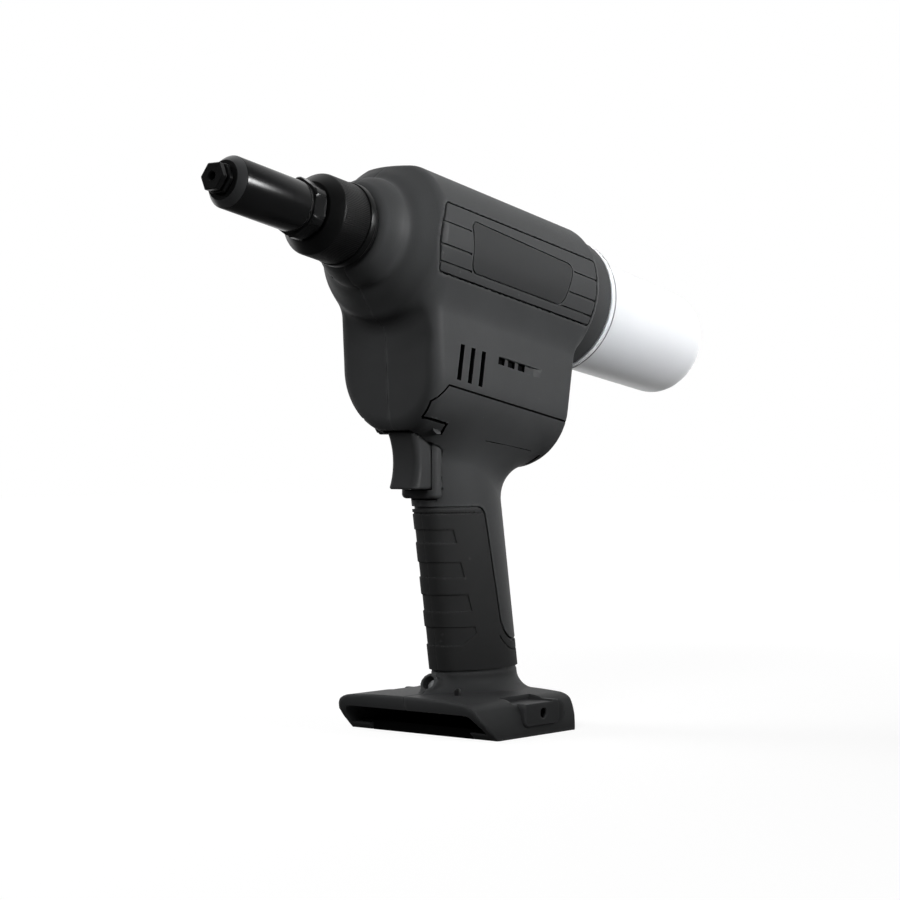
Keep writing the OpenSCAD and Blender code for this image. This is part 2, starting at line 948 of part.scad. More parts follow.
module nosepiece() color("#2b2c2f") on_axis() difference() {
    union() {
        hex_bar(nosepiece_flats, nose_tip, nose_tip + nosepiece_head);
        rod(nosepiece_flats / 2 - 0.9, nose_tip + nosepiece_head - lap, nosepiece_ring_from + lap);
        hex_bar(nosepiece_flats + 0.8, nosepiece_ring_from, sleeve_front);
        rod(nosepiece_shank_r, sleeve_front - lap, nosepiece_tail);
    }
    rod(mandrel_bore_r, nose_tip - 1, nosepiece_tail + 1);
}

module nose_sleeve() color("#1d1e20") on_axis() difference() {
    union() {
        turned([[0, sleeve_front], [sleeve_front_r, sleeve_front], [sleeve_r, 0], [sleeve_r, flange_from],
            [spigot_r, flange_from], [spigot_r, spigot_to], [0, spigot_to]]);
        intersection() {
            hex_bar(flange_flats, flange_from, flange_to);
            rod(flange_flats / 2 * 1.12, flange_from, flange_to);
        }
    }
    rod(nosepiece_shank_r, sleeve_front - 1, nosepiece_tail);
    rod(adapter_bore, nosepiece_tail, spigot_to + 1);
}

module collar_nut() color("#232426") on_axis() turned([[spigot_r, collar_from], [collar_front_r, collar_from],
    [collar_r, collar_chamfer_to], [collar_r, collar_knurl_to], [collar_band_r, collar_knurl_to],
    [collar_band_r, collar_to], [adapter_r, collar_to], [adapter_r, adapter_from], [spigot_r, adapter_from]]);

module collar_seal() color("#9a9da1") on_axis() tube(collar_band_r - 1, adapter_r, collar_to, seal_to);

module nose_adapter() color("#6d7074") on_axis() difference() {
    turned([[0, adapter_from], [adapter_r, adapter_from], [adapter_r, seal_to], [adapter_neck_r, seal_to],
        [adapter_neck_r, adapter_flange_from], [adapter_flange_r, adapter_flange_from],
        [adapter_flange_r, adapter_flange_to], [0, adapter_flange_to]]);
    rod(spigot_r, adapter_from - 1, spigot_to);
    rod(adapter_bore, spigot_to - 1, adapter_flange_to + 1);
}

// Pulling jaws

// radius of the jaw cone at a station
function cone_r(s) = jaw_front_r + (s - jaw_from) * tan(jaw_cone_angle);

module jaw_case() color("#5d6064") on_axis() difference() {
    rod(jaw_case_r, jaw_case_from, jaw_case_to);
    cone_end = jaw_from + jaw_len + jaw_open + 1;
    turned([[0, jaw_case_from - 1], [cone_r(jaw_case_from - 1), jaw_case_from - 1],
        [cone_r(cone_end), cone_end], [cone_r(cone_end), spindle_from], [spindle_r, spindle_from],
        [spindle_r, jaw_case_to + 1], [0, jaw_case_to + 1]]);
}

// one of the three jaws, centred at the given angle about the axis
module jaw(angle) {
    on_axis() rotate([angle, 0, 0]) difference() {
        intersection() {
            turned([[jaw_bite_r, jaw_from], [cone_r(jaw_from) - jaw_slip, jaw_from],
                [cone_r(jaw_from + jaw_len) - jaw_slip, jaw_from + jaw_len], [jaw_bite_r, jaw_from + jaw_len]]);
            along(jaw_from - 1, jaw_from + jaw_len + 1) polygon([[0, 0], [-20, 20 / tan(60)], [0, 30],
                [20, 20 / tan(60)]]);
        }
        for (turn = [-60, 60]) rotate([turn, 0, 0])
            translate([jaw_from - 1, -jaw_gap / 2, 0]) cube([jaw_len + 2, jaw_gap, 20]);
    }
}

module jaw_1() color("#84878b") jaw(0);

module jaw_2() color("#84878b") jaw(120);

module jaw_3() color("#84878b") jaw(240);

module jaw_pusher() color("#767a7e") on_axis() difference() {
    from = jaw_from + jaw_len + free / 10;
    union() {
        rod(cone_r(from) - pusher_gap, from, from + pusher_head);
        rod(pusher_stem_r, from, from + pusher_len);
    }
    rod(pusher_bore, from - 1, from + pusher_len + 1);
}

module pusher_spring() color("#b5b8bb") {
    from = jaw_from + jaw_len + pusher_head + free;
    on_axis() translate([from, 0, 0])
        coil(pusher_stem_r + 1.1, spring_wire, spring_turns, spindle_from - from - free);
}

module spindle() color("#7d8185") on_axis() difference() {
    union() {
        rod(spindle_r, spindle_from, screw_from);
        rod(screw_r, screw_from, spindle_to);
    }
    rod(tube_r, spindle_from - 1, spindle_to + 1);
}

module mandrel_tube() color("#a8abae") on_axis() tube(tube_r, tube_bore, tube_from, tube_to);

// Screw drive

module ball_nut() color("#6a6d71") on_axis() difference() {
    union() {
        rod(nut_r, nut_from, nut_to);
        along(gear_from, gear_to) gear_outline(nut_teeth, gear_module, backlash);
    }
    rod(screw_r + slip, nut_from - 1, nut_to + 1);
}

module thrust_bearing() color("#93969a") on_axis() tube(bearing_r, thrust_bore, thrust_from, thrust_to);

module rear_bearing() color("#93969a") on_axis()
    tube(bearing_r, nut_r + slip, rear_plate_from, rear_plate_to);

// section of a gear plate that fills the body from side to side
module gear_plate_section() {
    barrel_section(wall + plate_gap);
    motor_house_section(wall + plate_gap);
}

module front_gear_plate() color("#54575b") on_axis() difference() {
    along(front_plate_from, front_plate_to) gear_plate_section();
    rod(thrust_bore, front_plate_from - 1, front_plate_to + 1);
    rod(bearing_r, thrust_from, front_plate_to + 1);
    translate([0, 0, -motor_drop]) rod(carrier_shaft_r + slip, front_plate_from - 1, front_plate_to + 1);
}

module rear_gear_plate() color("#54575b") on_axis() difference() {
    along(rear_plate_from, rear_plate_to) gear_plate_section();
    rod(bearing_r, rear_plate_from - 1, rear_plate_to + 1);
    translate([0, 0, -motor_drop]) rod(carrier_stub_r + slip, rear_plate_from - 1, rear_plate_to + 1);
}

module output_carrier() color("#6a6d71") on_motor() {
    rod(carrier_r, carrier_from, carrier_to);
    for (i = [0 : 2]) rotate([i * 120, 0, 0]) translate([0, planet_orbit, 0])
        rod(planet_pin_r, planet_from, carrier_from + lap);
    rod(carrier_shaft_r, carrier_to - lap, gear_from + lap);
    along(gear_from, gear_to) rotate(180 / pinion_teeth) gear_outline(pinion_teeth, gear_module, backlash);
    rod(carrier_stub_r, gear_to - lap, rear_plate_to);
}

// a planet gear, turned so that it meshes with the sun and the ring
module planet(place) {
    angle = place * 120;
    spin = angle + 180 - 180 / planet_teeth + angle * sun_teeth / planet_teeth;
    on_motor() translate([0, planet_orbit * cos(angle), planet_orbit * sin(angle)]) difference() {
        along(planet_from, planet_to) rotate(spin) gear_outline(planet_teeth, planet_module, backlash);
        rod(planet_pin_r + slip, planet_from - 1, planet_to + 1);
    }
}

module planet_1() color("#7a7d81") planet(0);

module planet_2() color("#7a7d81") planet(1);

module planet_3() color("#7a7d81") planet(2);

module ring_gear() color("#5b5e62") on_motor() difference() {
    rod(ring_case_r, motor_to, ring_to);
    along(motor_to - 1, ring_to + 1) rotate(180 / ring_teeth)
        gear_outline(ring_teeth, planet_module, -backlash, gear_root, gear_tip);
}

module motor_can() color("#4a4d50") on_motor() difference() {
    rod(motor_r, motor_from, motor_to);
    rod(motor_r - motor_wall, motor_from + motor_wall, motor_to - motor_wall);
    rod(motor_shaft_r + slip, motor_from - 1, motor_to + 1);
}

module rotor() color("#8b6a45") on_motor() {
    rod(motor_shaft_r, fan_from, planet_to);
    rod(rotor_core_r, motor_from + 2 * motor_wall, motor_to - 2 * motor_wall);
    along(planet_from, planet_to) gear_outline(sun_teeth, planet_module, backlash);
}

module fan() color("#2f3133") on_motor() difference() {
    union() {
        rod(motor_shaft_r + 2, fan_from, fan_to);
        for (i = [0 : fan_blades - 1]) rotate([i * 360 / fan_blades, 0, 0])
            translate([fan_from, -fan_blade / 2, motor_shaft_r + 1])
                cube([fan_to - fan_from, fan_blade, fan_r - motor_shaft_r - 1]);
    }
    rod(motor_shaft_r, fan_from - 1, fan_to + 1);
}

// Rear end

module rear_ring() color("#242527") on_axis() tube(rear_ring_r, rear_ring_bore, barrel_to, rear_ring_to);

// profile of the bottle from its mouth to its closed end
module collector_bottle() color("#e9eef2", 0.6) {
    inner_end_r = bottle_end_r - bottle_wall;
    inner_edge_r = bottle_edge_r - bottle_wall;
    neck_r = rear_ring_bore - free;
    on_axis() turned(concat(
        [[neck_r - bottle_wall, bottle_neck_from], [neck_r, bottle_neck_from], [neck_r, rear_ring_to],
            [flange_r, rear_ring_to], [flange_r, bottle_flange_to], [bottle_front_r, bottle_flange_to]],
        [for (a = [0 : 10 : 90]) [bottle_end_r - bottle_edge_r * (1 - cos(a)),
            bottle_end - bottle_edge_r * (1 - sin(a))]],
        [[0, bottle_end], [0, bottle_end - bottle_wall]],
        [for (a = [90 : -10 : 0]) [inner_end_r - inner_edge_r * (1 - cos(a)),
            bottle_end - bottle_wall - inner_edge_r * (1 - sin(a))]],
        [[neck_r - bottle_wall, bottle_flange_to]]));
}

module bottle_seal() color("#7f8386") on_axis()
    tube(flange_r, bottle_front_r, bottle_flange_to, bottle_seal_to);

// Every piece that is asked for

left_housing();
right_housing();
left_panel();
right_panel();
left_badge();
right_badge();
left_grip();
right_grip();
trigger_bezel();
trigger();
trigger_spring();
switch_body();
control_board();
lamp_lens();
charge_lamp();
terminal_block();
terminal_blades();
hook_inserts();
slot_cover();
housing_screws();
nosepiece();
nose_sleeve();
collar_nut();
collar_seal();
nose_adapter();
jaw_case();
jaw_1();
jaw_2();
jaw_3();
jaw_pusher();
pusher_spring();
spindle();
mandrel_tube();
ball_nut();
thrust_bearing();
rear_bearing();
front_gear_plate();
rear_gear_plate();
output_carrier();
planet_1();
planet_2();
planet_3();
ring_gear();
motor_can();
rotor();
fan();
rear_ring();
collector_bottle();
bottle_seal();
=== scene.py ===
"""Looks of a battery rivet tool: moulded housing, nose, handle, foot and collector on the CAD frame."""

import functools
import json
import math

import bpy
import numpy as np
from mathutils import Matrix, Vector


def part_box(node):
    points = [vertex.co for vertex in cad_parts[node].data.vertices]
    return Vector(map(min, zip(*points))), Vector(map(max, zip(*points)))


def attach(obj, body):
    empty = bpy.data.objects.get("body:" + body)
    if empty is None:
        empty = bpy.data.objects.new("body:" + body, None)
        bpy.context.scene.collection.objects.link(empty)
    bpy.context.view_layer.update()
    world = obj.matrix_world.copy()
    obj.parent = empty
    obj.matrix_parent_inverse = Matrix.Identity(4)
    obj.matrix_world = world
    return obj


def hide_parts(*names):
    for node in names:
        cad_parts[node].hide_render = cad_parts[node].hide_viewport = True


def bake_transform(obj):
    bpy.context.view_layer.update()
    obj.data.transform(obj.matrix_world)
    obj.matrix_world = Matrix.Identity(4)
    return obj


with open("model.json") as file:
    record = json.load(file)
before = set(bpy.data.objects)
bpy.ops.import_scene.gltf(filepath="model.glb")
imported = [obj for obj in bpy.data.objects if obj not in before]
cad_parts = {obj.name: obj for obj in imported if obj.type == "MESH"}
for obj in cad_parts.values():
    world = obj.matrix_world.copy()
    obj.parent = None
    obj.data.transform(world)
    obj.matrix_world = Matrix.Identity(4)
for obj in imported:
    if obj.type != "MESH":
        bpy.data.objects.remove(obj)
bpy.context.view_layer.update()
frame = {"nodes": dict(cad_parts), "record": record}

# Sizes in millimetres and angles in radians, in the frame of the part's source

METRE = 1000
MM = 1 / METRE
PITCH = math.radians(10)
AXIS_HEIGHT = 231.4
AXIS_X = -149.192
AXIS_R = 0.02
WALL = 2.6
PARTING = 0.02

SLEEVE_R = 11.0
SLEEVE_WAIST_R = 10.6
FLANGE_R, FLANGE_FLATS = 12.9, 23.4
COLLAR_R = 17.6
COLLAR_BAND_R = 18.2
KNURLS, KNURL_DEPTH = 132, 0.14
SPRING_WIRE = 0.5

# Front, rear and radius of the pusher's spring
PUSHER_SPRING = (26.37, 35.63, 5.3)

BARREL_R = 35.0
BARREL_FLAT = 32.6
BARREL_TO = 207.0
NECK_FROM = 72.0
NECK_R = 18.8
NECK_SLOPE = 0.57
NECK_BORE, NECK_BORE_TO = 14.4, 110
FLARE_FROM, FLARE_TO = 82.2, 104.0
FLARE_BEND = 0.019

# Station, width and rise of the bead and the crease on the neck
NECK_BEAD = (77.5, 3.2, 0.5)
NECK_CREASE = (84.0, 2.4, -1.2)

HOUSE_TO = 202.8
HOUSE_HALF = 28.0
HOUSE_TOP, HOUSE_DEPTH = 20, 80.5
HOUSE_CORNER = 26.0
HOUSE_FRONT_X, HOUSE_FRONT_Z = AXIS_X + 96, 155
HOUSE_EDGE = 6.5
HOUSE_RAKE = 0.06
HOUSE_FILLET = 6
SCREW_HIGH, SCREW_LOW = 23, 6.2 - HOUSE_DEPTH
BODY_SCREWS = [(116, SCREW_HIGH), (152, SCREW_HIGH), (128, SCREW_LOW), (186, SCREW_LOW)]
SCREW_HEAD_R, SCREW_SEAT = 3.4, 15.0
POST_R, POST_TOP = 4.6, 18.4
DRIVE_FROM = 98.0
EXIT_R, EXIT_FROM = 12.2, 190

# Rows of three cuts in the flank: first station, width, pitch, lower and upper height, depth
VENTS = (121.1, 2.8, 7.4, -56.4, -40.9, 6)
# The cells stop short of the wall, so their floors show the painted shade.
CELLS = (148.4, 4.8, 7.3, -44, -41, 2.3)
CUT_PROUD = 2
LOUVRE_FROM, LOUVRE_TO, LOUVRE_END = 147.8, 174.6, 178.4
LOUVRE_LOW, LOUVRE_HIGH, LOUVRE_DEPTH = -44.2, -40.7, 0.9

# Grooves: a line of (station, height) places, width and depth
LOWER_SEAM = ([(202.5, -59.8), (117.1, -59.7), (112.1, -67.5), (114.1, -74.2)], 0.9, 0.9)
REAR_SEAM = ([(198.4, -75.8), (198.4, -78.0), (198.4, -79.4), (198.4, -80.2)], 1.3, 1.2)
FRONT_STEP = ([(114.1, -74.2), (128.7, -74.4), (131.0, -78.7)], 1.5, 1.2)
FAINT_SEAM = ([(155.9, -76.9), (189.3, -75.5)], 0.4, 0.25)
NECK_NOTCH = ([(78.4, -19.4), (80.6, -20.6)], 1.7, 2.0)

SIDE_FROM = 20
PANEL_FROM, PANEL_TO = 94.2, 204.2
PANEL_BOW = 3.4
PANEL_HALF = 14.8
PANEL_RISE = 0.3
PANEL_DEPTH = 1.6
PANEL_GAP = 0.65
RIBS = (6.0, -3.7, -10.7)
RIB_HALF, RIB_DEPTH, RIB_STOP = 0.45, 0.9, 1.4
BADGE_FROM, BADGE_TO = 114.7, 184.0
BADGE_LOW, BADGE_HIGH = -10.6, 10.9
BADGE_FRONT_LEAN, BADGE_REAR_LEAN, BADGE_TAPER = 0.156, 0.256, 0.033
BADGE_CORNER, BADGE_DEPTH, BADGE_GAP = 4, 0.8, 0.6

GRIP_X = AXIS_X + 143.9
GRIP_Z = AXIS_HEIGHT - HOUSE_DEPTH - 52.2
RAKE = math.radians(9.3)
GRIP_DEPTH, GRIP_WIDTH, GRIP_END_R = 25.5, 14.8, 10.0
GRIP_REACH = 46
GRIP_WALL, GRIP_FLOOR = 4.4, 27.5
HEEL_FROM, HEEL_TO = -12, 36
FRONT_FILLET, HEEL_FILLET = 10, 22
RUBBER = 1.6
RUBBER_TOP = GRIP_Z + 0.6
RUBBER_BOTTOM = 26.4
RUBBER_EDGE, RUBBER_SEAT = 0.8, 0.5
STRIP_AT, STRIP_LEAN, STRIP_TOP = 1.2, 0.075, -5
STRIP_END, STRIP_CORNER = -63.6, 14
LINE_DEPTH, PAD_DEPTH, PAD_SLANT = 0.6, 0.5, 0.16

# Finger pads: top, height and rear end
PADS = [(GRIP_Z - 9.1 - 14.4 * i, 5.9 + 0.75 * i, -17.0 + 1.8 * i) for i in range(4)]

# Trigger and the frame around it, from the head of the grip
BLADE_HALF, BLADE_LOW, BLADE_HIGH = 8, 8.8, 33.9
BLADE_FRONT, BLADE_BACK, BLADE_LEAN = -42.6, -23, 0.09
HOLLOW_AT, HOLLOW_R = -36.7, 26
STEM_R, STEM_Z, STEM_BACK = 3, 20.3, -8
BEZEL_HALF, BEZEL_LOW, BEZEL_HIGH = 10.2, 4.6, 29.2
BEZEL_FRONT, BEZEL_BACK, BEZEL_GAP = -28.6, -23.2, 0.35

FOOT_X = GRIP_X + (GRIP_Z - 19) * math.tan(RAKE)
FOOT_TOP, FOOT_CROWN = 19.1, 520
FOOT_HALF = 42.0
FLANK_WIDTH, FLANK_HEIGHT = 10.0, 18.2
FOOT_REAR, REAR_LEAN = FOOT_X + 19.6, 0.1
FOOT_NOSE = FOOT_X - 37
NOSE_RUN, NOSE_RISE = 12.5, 11
BROW_RUN, BROW_RISE = 3, 29
SLOT_REAR = FOOT_REAR - 3
SLOT_TOP, SLOT_WALL = 12.9, 3.4
RAIL_TOP = 3.0
RAIL_GAP = 29.0
HOOK_X, HOOK_Z = FOOT_X - 6.8, 9.7
HOOK_IN, HOOK_TONGUE, HOOK_OUT = 33, 41.6, 43.0
HOOK_BORE, INSERT_BORE, INSERT_TO = 2.15, 3.25, 41.3
LAMP_X, LAMP_Z, LAMP_R = FOOT_X - 31.8, 21.6, 2.9
LAMP_TILT = math.radians(28)
LAMP_SEAT = -9
HOOD_WALL, HOOD_BACK, HOOD_FRONT = 1.5, -12, 1.6
LENS_RIM, LENS_RISE = -2.6, 1.8

BOTTLE_R, BOTTLE_END = 25.3, 310
BOTTLE_EDGE, BOTTLE_WALL = 5.0, 2.0

COS, SIN = math.cos(PITCH), math.sin(PITCH)
GRIP_COS, GRIP_SIN = math.cos(RAKE), math.sin(RAKE)
LAMP_COS, LAMP_SIN = math.cos(LAMP_TILT), math.sin(LAMP_TILT)

# Pitch of the grid that each kind of moulded piece is meshed on
FINE = 1.0
HOUSING_CELL, GRIP_CELL, TRIGGER_CELL = 0.8 * FINE, 0.5 * FINE, 0.45 * FINE
PANEL_CELL, BADGE_CELL = 0.4 * FINE, 0.5 * FINE


# Frames of the tool's main directions


def to_barrel(p):
    """Station along the pull axis, side, and height above the axis."""
    dx, dz = p[0] - AXIS_X, p[2] - AXIS_HEIGHT
    return dx * COS - dz * SIN, p[1], dx * SIN + dz * COS


def from_barrel(s, y, h):
    """Point in the row frame of a station, side and height."""
    return AXIS_X + s * COS + h * SIN, y, AXIS_HEIGHT - s * SIN + h * COS


def to_grip(p):
    """Place across the grip, side, and place along the grip."""
    dx, dz = p[0] - GRIP_X, p[2] - GRIP_Z
    return dx * GRIP_COS + dz * GRIP_SIN, p[1], dz * GRIP_COS - dx * GRIP_SIN


# Distance fields: negative inside a form


def shared(*forms):
    """What forms share."""
    return functools.reduce(np.maximum, forms)


def joined(*forms):
    """Forms as one."""
    return functools.reduce(np.minimum, forms)


def round_max(a, b, r):
    """What two forms share, with the edge between them rounded."""
    return np.minimum(-r, np.maximum(a, b)) + np.hypot(np.maximum(a + r, 0), np.maximum(b + r, 0))


def round_min(a, b, r):
    """Two forms joined, with a hollow fillet between them."""
    return np.maximum(r, np.minimum(a, b)) - np.hypot(np.maximum(r - a, 0), np.maximum(r - b, 0))


def box(u, v, half_u, half_v, r):
    """Rectangle with rounded corners."""
    a, b = np.abs(u) - half_u + r, np.abs(v) - half_v + r
    return np.minimum(np.maximum(a, b), 0) + np.hypot(np.maximum(a, 0), np.maximum(b, 0)) - r


def span(x, low, high):
    """Slab between two values."""
    return np.abs(x - (low + high) / 2) - (high - low) / 2


def bell(s, middle, width, rise):
    """Soft bead about a station, or a crease where the rise is below nothing."""
    return rise * np.exp(-((s - middle) / width) ** 2)


def smooth_step(x, low, high):
    """Rises smoothly from nothing at low to one at high."""
    share = np.clip((x - low) / (high - low), 0, 1)
    return share * share * (3 - 2 * share)


def incline(x, z, run, rise):
    """Distance in front of a sloping face that comes forward by run as it rises by rise."""
    return (-x * rise - z * run) / math.hypot(rise, run)


def oval(u, v):
    """The grip's section of four arcs."""
    reach = GRIP_DEPTH - GRIP_END_R
    side_r = (reach ** 2 + GRIP_WIDTH ** 2 - GRIP_END_R ** 2) / (2 * (GRIP_WIDTH - GRIP_END_R))
    drop = side_r - GRIP_WIDTH
    u, v = np.abs(u), np.abs(v)
    end = np.hypot(u - reach, v) - GRIP_END_R
    side = np.hypot(u, v + drop) - side_r
    return np.where(u * drop > reach * (v + drop), end, side)


# Meshes from fields

SHARP = math.radians(30)
SOLVER = "MANIFOLD"
BLOCK = 8
BLOCK_REACH = 1.3
HOLD = 0.05
CORNERS = np.array([[1, -1, -1], [-1, -1, 1], [-1, 1, -1], [1, 1, 1]], float)


def grid(*counts):
    """Index triples of a block of that many steps each way."""
    return np.stack(np.meshgrid(*[np.arange(n) for n in counts], indexing="ij"), -1).reshape(-1, 3)


def sample(field, low, blocks, pitch):
    """The field on a grid, worked out only in the blocks that the surface may pass."""
    corners = grid(*blocks)
    reach = BLOCK * pitch
    middle = field((low + (corners + 0.5) * reach - pitch / 2).T)
    values = middle.reshape(blocks).astype(np.float32)
    for axis in range(3):
        values = np.repeat(values, BLOCK, axis)
    near = corners[np.abs(middle) < BLOCK_REACH * reach]
    steps = grid(BLOCK, BLOCK, BLOCK)
    for part in np.array_split(near, len(near) // 1000 + 1):
        index = (part[:, None] * BLOCK + steps).reshape(-1, 3)
        values[tuple(index.T)] = field((low + index * pitch).T)
    return values


def slope(field, points):
    """Unit outward direction of the field at each point."""
    step = 0.03
    total = sum(c * field((points + c * step).T)[:, None] for c in CORNERS)
    return total / np.maximum(np.linalg.norm(total, axis=1, keepdims=True), 1e-9)


def crossings(values, axis, low, pitch):
    """Grid edges along one axis that the surface cuts: the point, the four cells around it, and sense."""
    before = np.take(values, range(values.shape[axis] - 1), axis)
    after = np.take(values, range(1, values.shape[axis]), axis)
    index = np.argwhere((before < 0) != (after < 0))
    a, b = before[tuple(index.T)], after[tuple(index.T)]
    point = index.astype(float)
    point[:, axis] += a / (a - b)
    u, v = np.eye(3, dtype=int)[(axis + 1) % 3], np.eye(3, dtype=int)[(axis + 2) % 3]
    cells = np.stack([index, index - u, index - u - v, index - v], 1)
    cells = np.ravel_multi_index(tuple(np.moveaxis(cells, 2, 0)), values.shape)
    return low + point * pitch, cells, a < 0


def dual_mesh(name, field, low, high, pitch):
    """Mesh of a field's surface, with a vertex in each cell where the tangent planes around it meet."""
    low = np.array(low, float) - 3 * pitch
    blocks = tuple(int(n) for n in np.ceil((np.array(high) + 3 * pitch - low) / pitch / BLOCK))
    values = sample(field, low, blocks, pitch)
    found = [crossings(values, axis, low, pitch) for axis in range(3)]
    points, cells, rising = (np.concatenate([f[k] for f in found]) for k in range(3))
    normals = slope(field, points)
    used, cell = np.unique(cells, return_inverse=True)
    cell = cell.reshape(cells.shape)

    def gather(weights):
        return sum(np.bincount(cell[:, k], weights, len(used)) for k in range(4))

    share = gather(np.ones(len(points)))
    centre = np.stack([gather(points[:, k]) / share for k in range(3)], 1)
    square = np.stack([[gather(normals[:, i] * normals[:, j]) for j in range(3)] for i in range(3)])
    square = square.transpose(2, 0, 1)
    along = np.sum(normals * points, 1)
    pull = np.stack([gather(normals[:, k] * along) for k in range(3)], 1)
    pull -= np.einsum("nij,nj->ni", square, centre)
    move = np.linalg.solve(square + HOLD * np.eye(3), pull[:, :, None])[:, :, 0]
    corner = low + np.stack(np.unravel_index(used, values.shape), 1) * pitch
    vertices = np.clip(centre + move, corner, corner + pitch)
    quads = np.where(rising[:, None], cell, cell[:, ::-1])
    return mesh_object(name, vertices, quads)


def half_mesh(name, field, side, low, high, reach, pitch):
    """Mesh of one of two mirrored halves, on a grid whose cells lie evenly about the parting plane."""
    steps = math.ceil(reach / pitch) + 0.5
    near, far = (-0.5 * pitch, steps * pitch) if side > 0 else (-steps * pitch, 0.5 * pitch)
    return dual_mesh(name, lambda p: field(p, side), [low[0], near, low[1]], [high[0], far, high[1]], pitch)


def add_object(name, data):
    """New object in the scene."""
    obj = bpy.data.objects.new(name, data)
    bpy.context.scene.collection.objects.link(obj)
    return obj


def shade_smooth(mesh):
    """Smooth shading, apart from sharp edges."""
    mesh.polygons.foreach_set("use_smooth", np.ones(len(mesh.polygons), bool))
    mesh.set_sharp_from_angle(angle=SHARP)


def mesh_object(name, points, faces):
    """Smooth mesh object from points in millimetres and faces of equal size."""
    faces = np.asarray(faces)
    mesh = bpy.data.meshes.new(name)
    mesh.vertices.add(len(points))
    mesh.vertices.foreach_set("co", (np.asarray(points) * MM).ravel())
    mesh.loops.add(faces.size)
    mesh.loops.foreach_set("vertex_index", faces.ravel().astype(np.int32))
    mesh.polygons.add(len(faces))
    mesh.polygons.foreach_set("loop_start", np.arange(0, faces.size, faces.shape[1], dtype=np.int32))
    mesh.update(calc_edges=True)
    mesh.validate()
    shade_smooth(mesh)
    return add_object(name, mesh)


def tube_faces(rings, sides):
    """Faces between neighbouring rings of a tube with that many sides."""
    ring, step = np.meshgrid(np.arange(rings - 1), np.arange(sides), indexing="ij")
    near, far, turn = ring * sides, (ring + 1) * sides, (step + 1) % sides
    return np.stack([near + step, near + turn, far + turn, far + step], -1).reshape(-1, 4)


def bar_faces(rings):
    """Faces of a closed bar along that many rings of four corners."""
    end = np.arange(4)
    return np.concatenate([tube_faces(rings, 4), [end[::-1], end + 4 * (rings - 1)]])


def lathe(name, rings, count=128, shape=None, place=from_barrel):
    """Closed form turned about an axis from (station, radius) rings, the last joined to the first."""
    angle = np.arange(count) * 2 * math.pi / count
    points = []
    for number, (s, r) in enumerate(rings):
        reach = np.ones(count) * (r if shape is None else shape(number, angle, r))
        points.append(np.stack(place(s, reach * np.sin(angle), reach * np.cos(angle)), 1))
    faces = tube_faces(len(rings) + 1, count) % (len(rings) * count)
    return mesh_object(name, np.concatenate(points), faces)


def hexagon(angle, flats):
    """Radius of a hexagon with level flats at each angle."""
    return flats / 2 / np.cos((angle + math.pi / 6) % (math.pi / 3) - math.pi / 6)


# Housing fields


def barrel_field(p):
    """Round barrel with a flat top and a rounded rear edge."""
    s, y, h = to_barrel(p)
    tube = round_max(np.hypot(y, h) - BARREL_R, h - BARREL_FLAT, 1.2)
    return round_max(tube, s - BARREL_TO, 1.5)


def house_field(p):
    """Motor house under the barrel, with a rounded bottom and rounded front edges."""
    s, y, h = to_barrel(p)
    middle, half = (HOUSE_TOP - HOUSE_DEPTH) / 2, (HOUSE_TOP + HOUSE_DEPTH) / 2
    section = box(y, h - middle, HOUSE_HALF, half, HOUSE_CORNER)
    face = HOUSE_FRONT_X - HOUSE_RAKE * (p[2] - HOUSE_FRONT_Z) - p[0]
    return round_max(round_max(section, face, HOUSE_EDGE), s - HOUSE_TO, 2.0)


def neck_field(p):
    """Neck behind the collar with a soft crease, and the flare that it widens into."""
    s, y, h = to_barrel(p)
    swell = bell(s, *NECK_BEAD) + bell(s, *NECK_CREASE)
    swell = swell + FLARE_BEND * np.maximum(s - FLARE_FROM, 0) ** 2
    cone = np.hypot(y, h) - NECK_R - NECK_SLOPE * (s - NECK_FROM) - swell
    cone = cone / math.hypot(1, 1.2 * NECK_SLOPE)
    return round_max(round_min(cone, FLARE_TO - s, 2), NECK_FROM - s, 2.4)


def body_field(p):
    """Barrel, motor house and neck as one moulded form."""
    return round_max(round_min(barrel_field(p), house_field(p), HOUSE_FILLET), neck_field(p), 2.0)


def handle_field(p):
    """Grip from the foot up into the motor house."""
    u, y, w = to_grip(p)
    return shared(oval(u, y), w - GRIP_REACH, RUBBER_BOTTOM - p[2])


def flank_field(p):
    """Upright flanks of the foot, which turn over into its top as a quarter oval."""
    side = np.maximum(np.abs(p[1]) - FOOT_HALF + FLANK_WIDTH, 0)
    return (np.hypot(side / FLANK_WIDTH, p[2] / FLANK_HEIGHT) - 1) * FLANK_WIDTH


def foot_field(p):
    """Foot with turned-over flanks, a raked nose and the ring that the grip stands on."""
    top = p[2] - FOOT_TOP + p[1] ** 2 / FOOT_CROWN
    nose = incline(p[0] - FOOT_NOSE, p[2], NOSE_RUN, NOSE_RISE)
    brow = incline(p[0] - (FOOT_NOSE - NOSE_RUN), p[2] - NOSE_RISE, BROW_RUN, BROW_RISE)
    form = round_max(flank_field(p), top, 3)
    form = round_max(form, round_max(nose, brow, 3), 1.2)
    form = round_max(form, p[0] - FOOT_REAR - REAR_LEAN * p[2], 2)
    u, y, _ = to_grip(p)
    ring = shared(oval(u, y) + 0.7, p[2] - RUBBER_BOTTOM - 0.5)
    return shared(round_min(form, ring, 7), -p[2])


def to_lamp(p):
    """Place along the work lamp's beam, side, and place across it."""
    dx, dz = p[0] - LAMP_X, p[2] - LAMP_Z
    return dz * LAMP_SIN - dx * LAMP_COS, p[1], dx * LAMP_SIN + dz * LAMP_COS


def from_lamp(a, y, b):
    """Point in the row frame of a place in the lamp's frame."""
    return LAMP_X - a * LAMP_COS + b * LAMP_SIN, y, LAMP_Z + a * LAMP_SIN + b * LAMP_COS


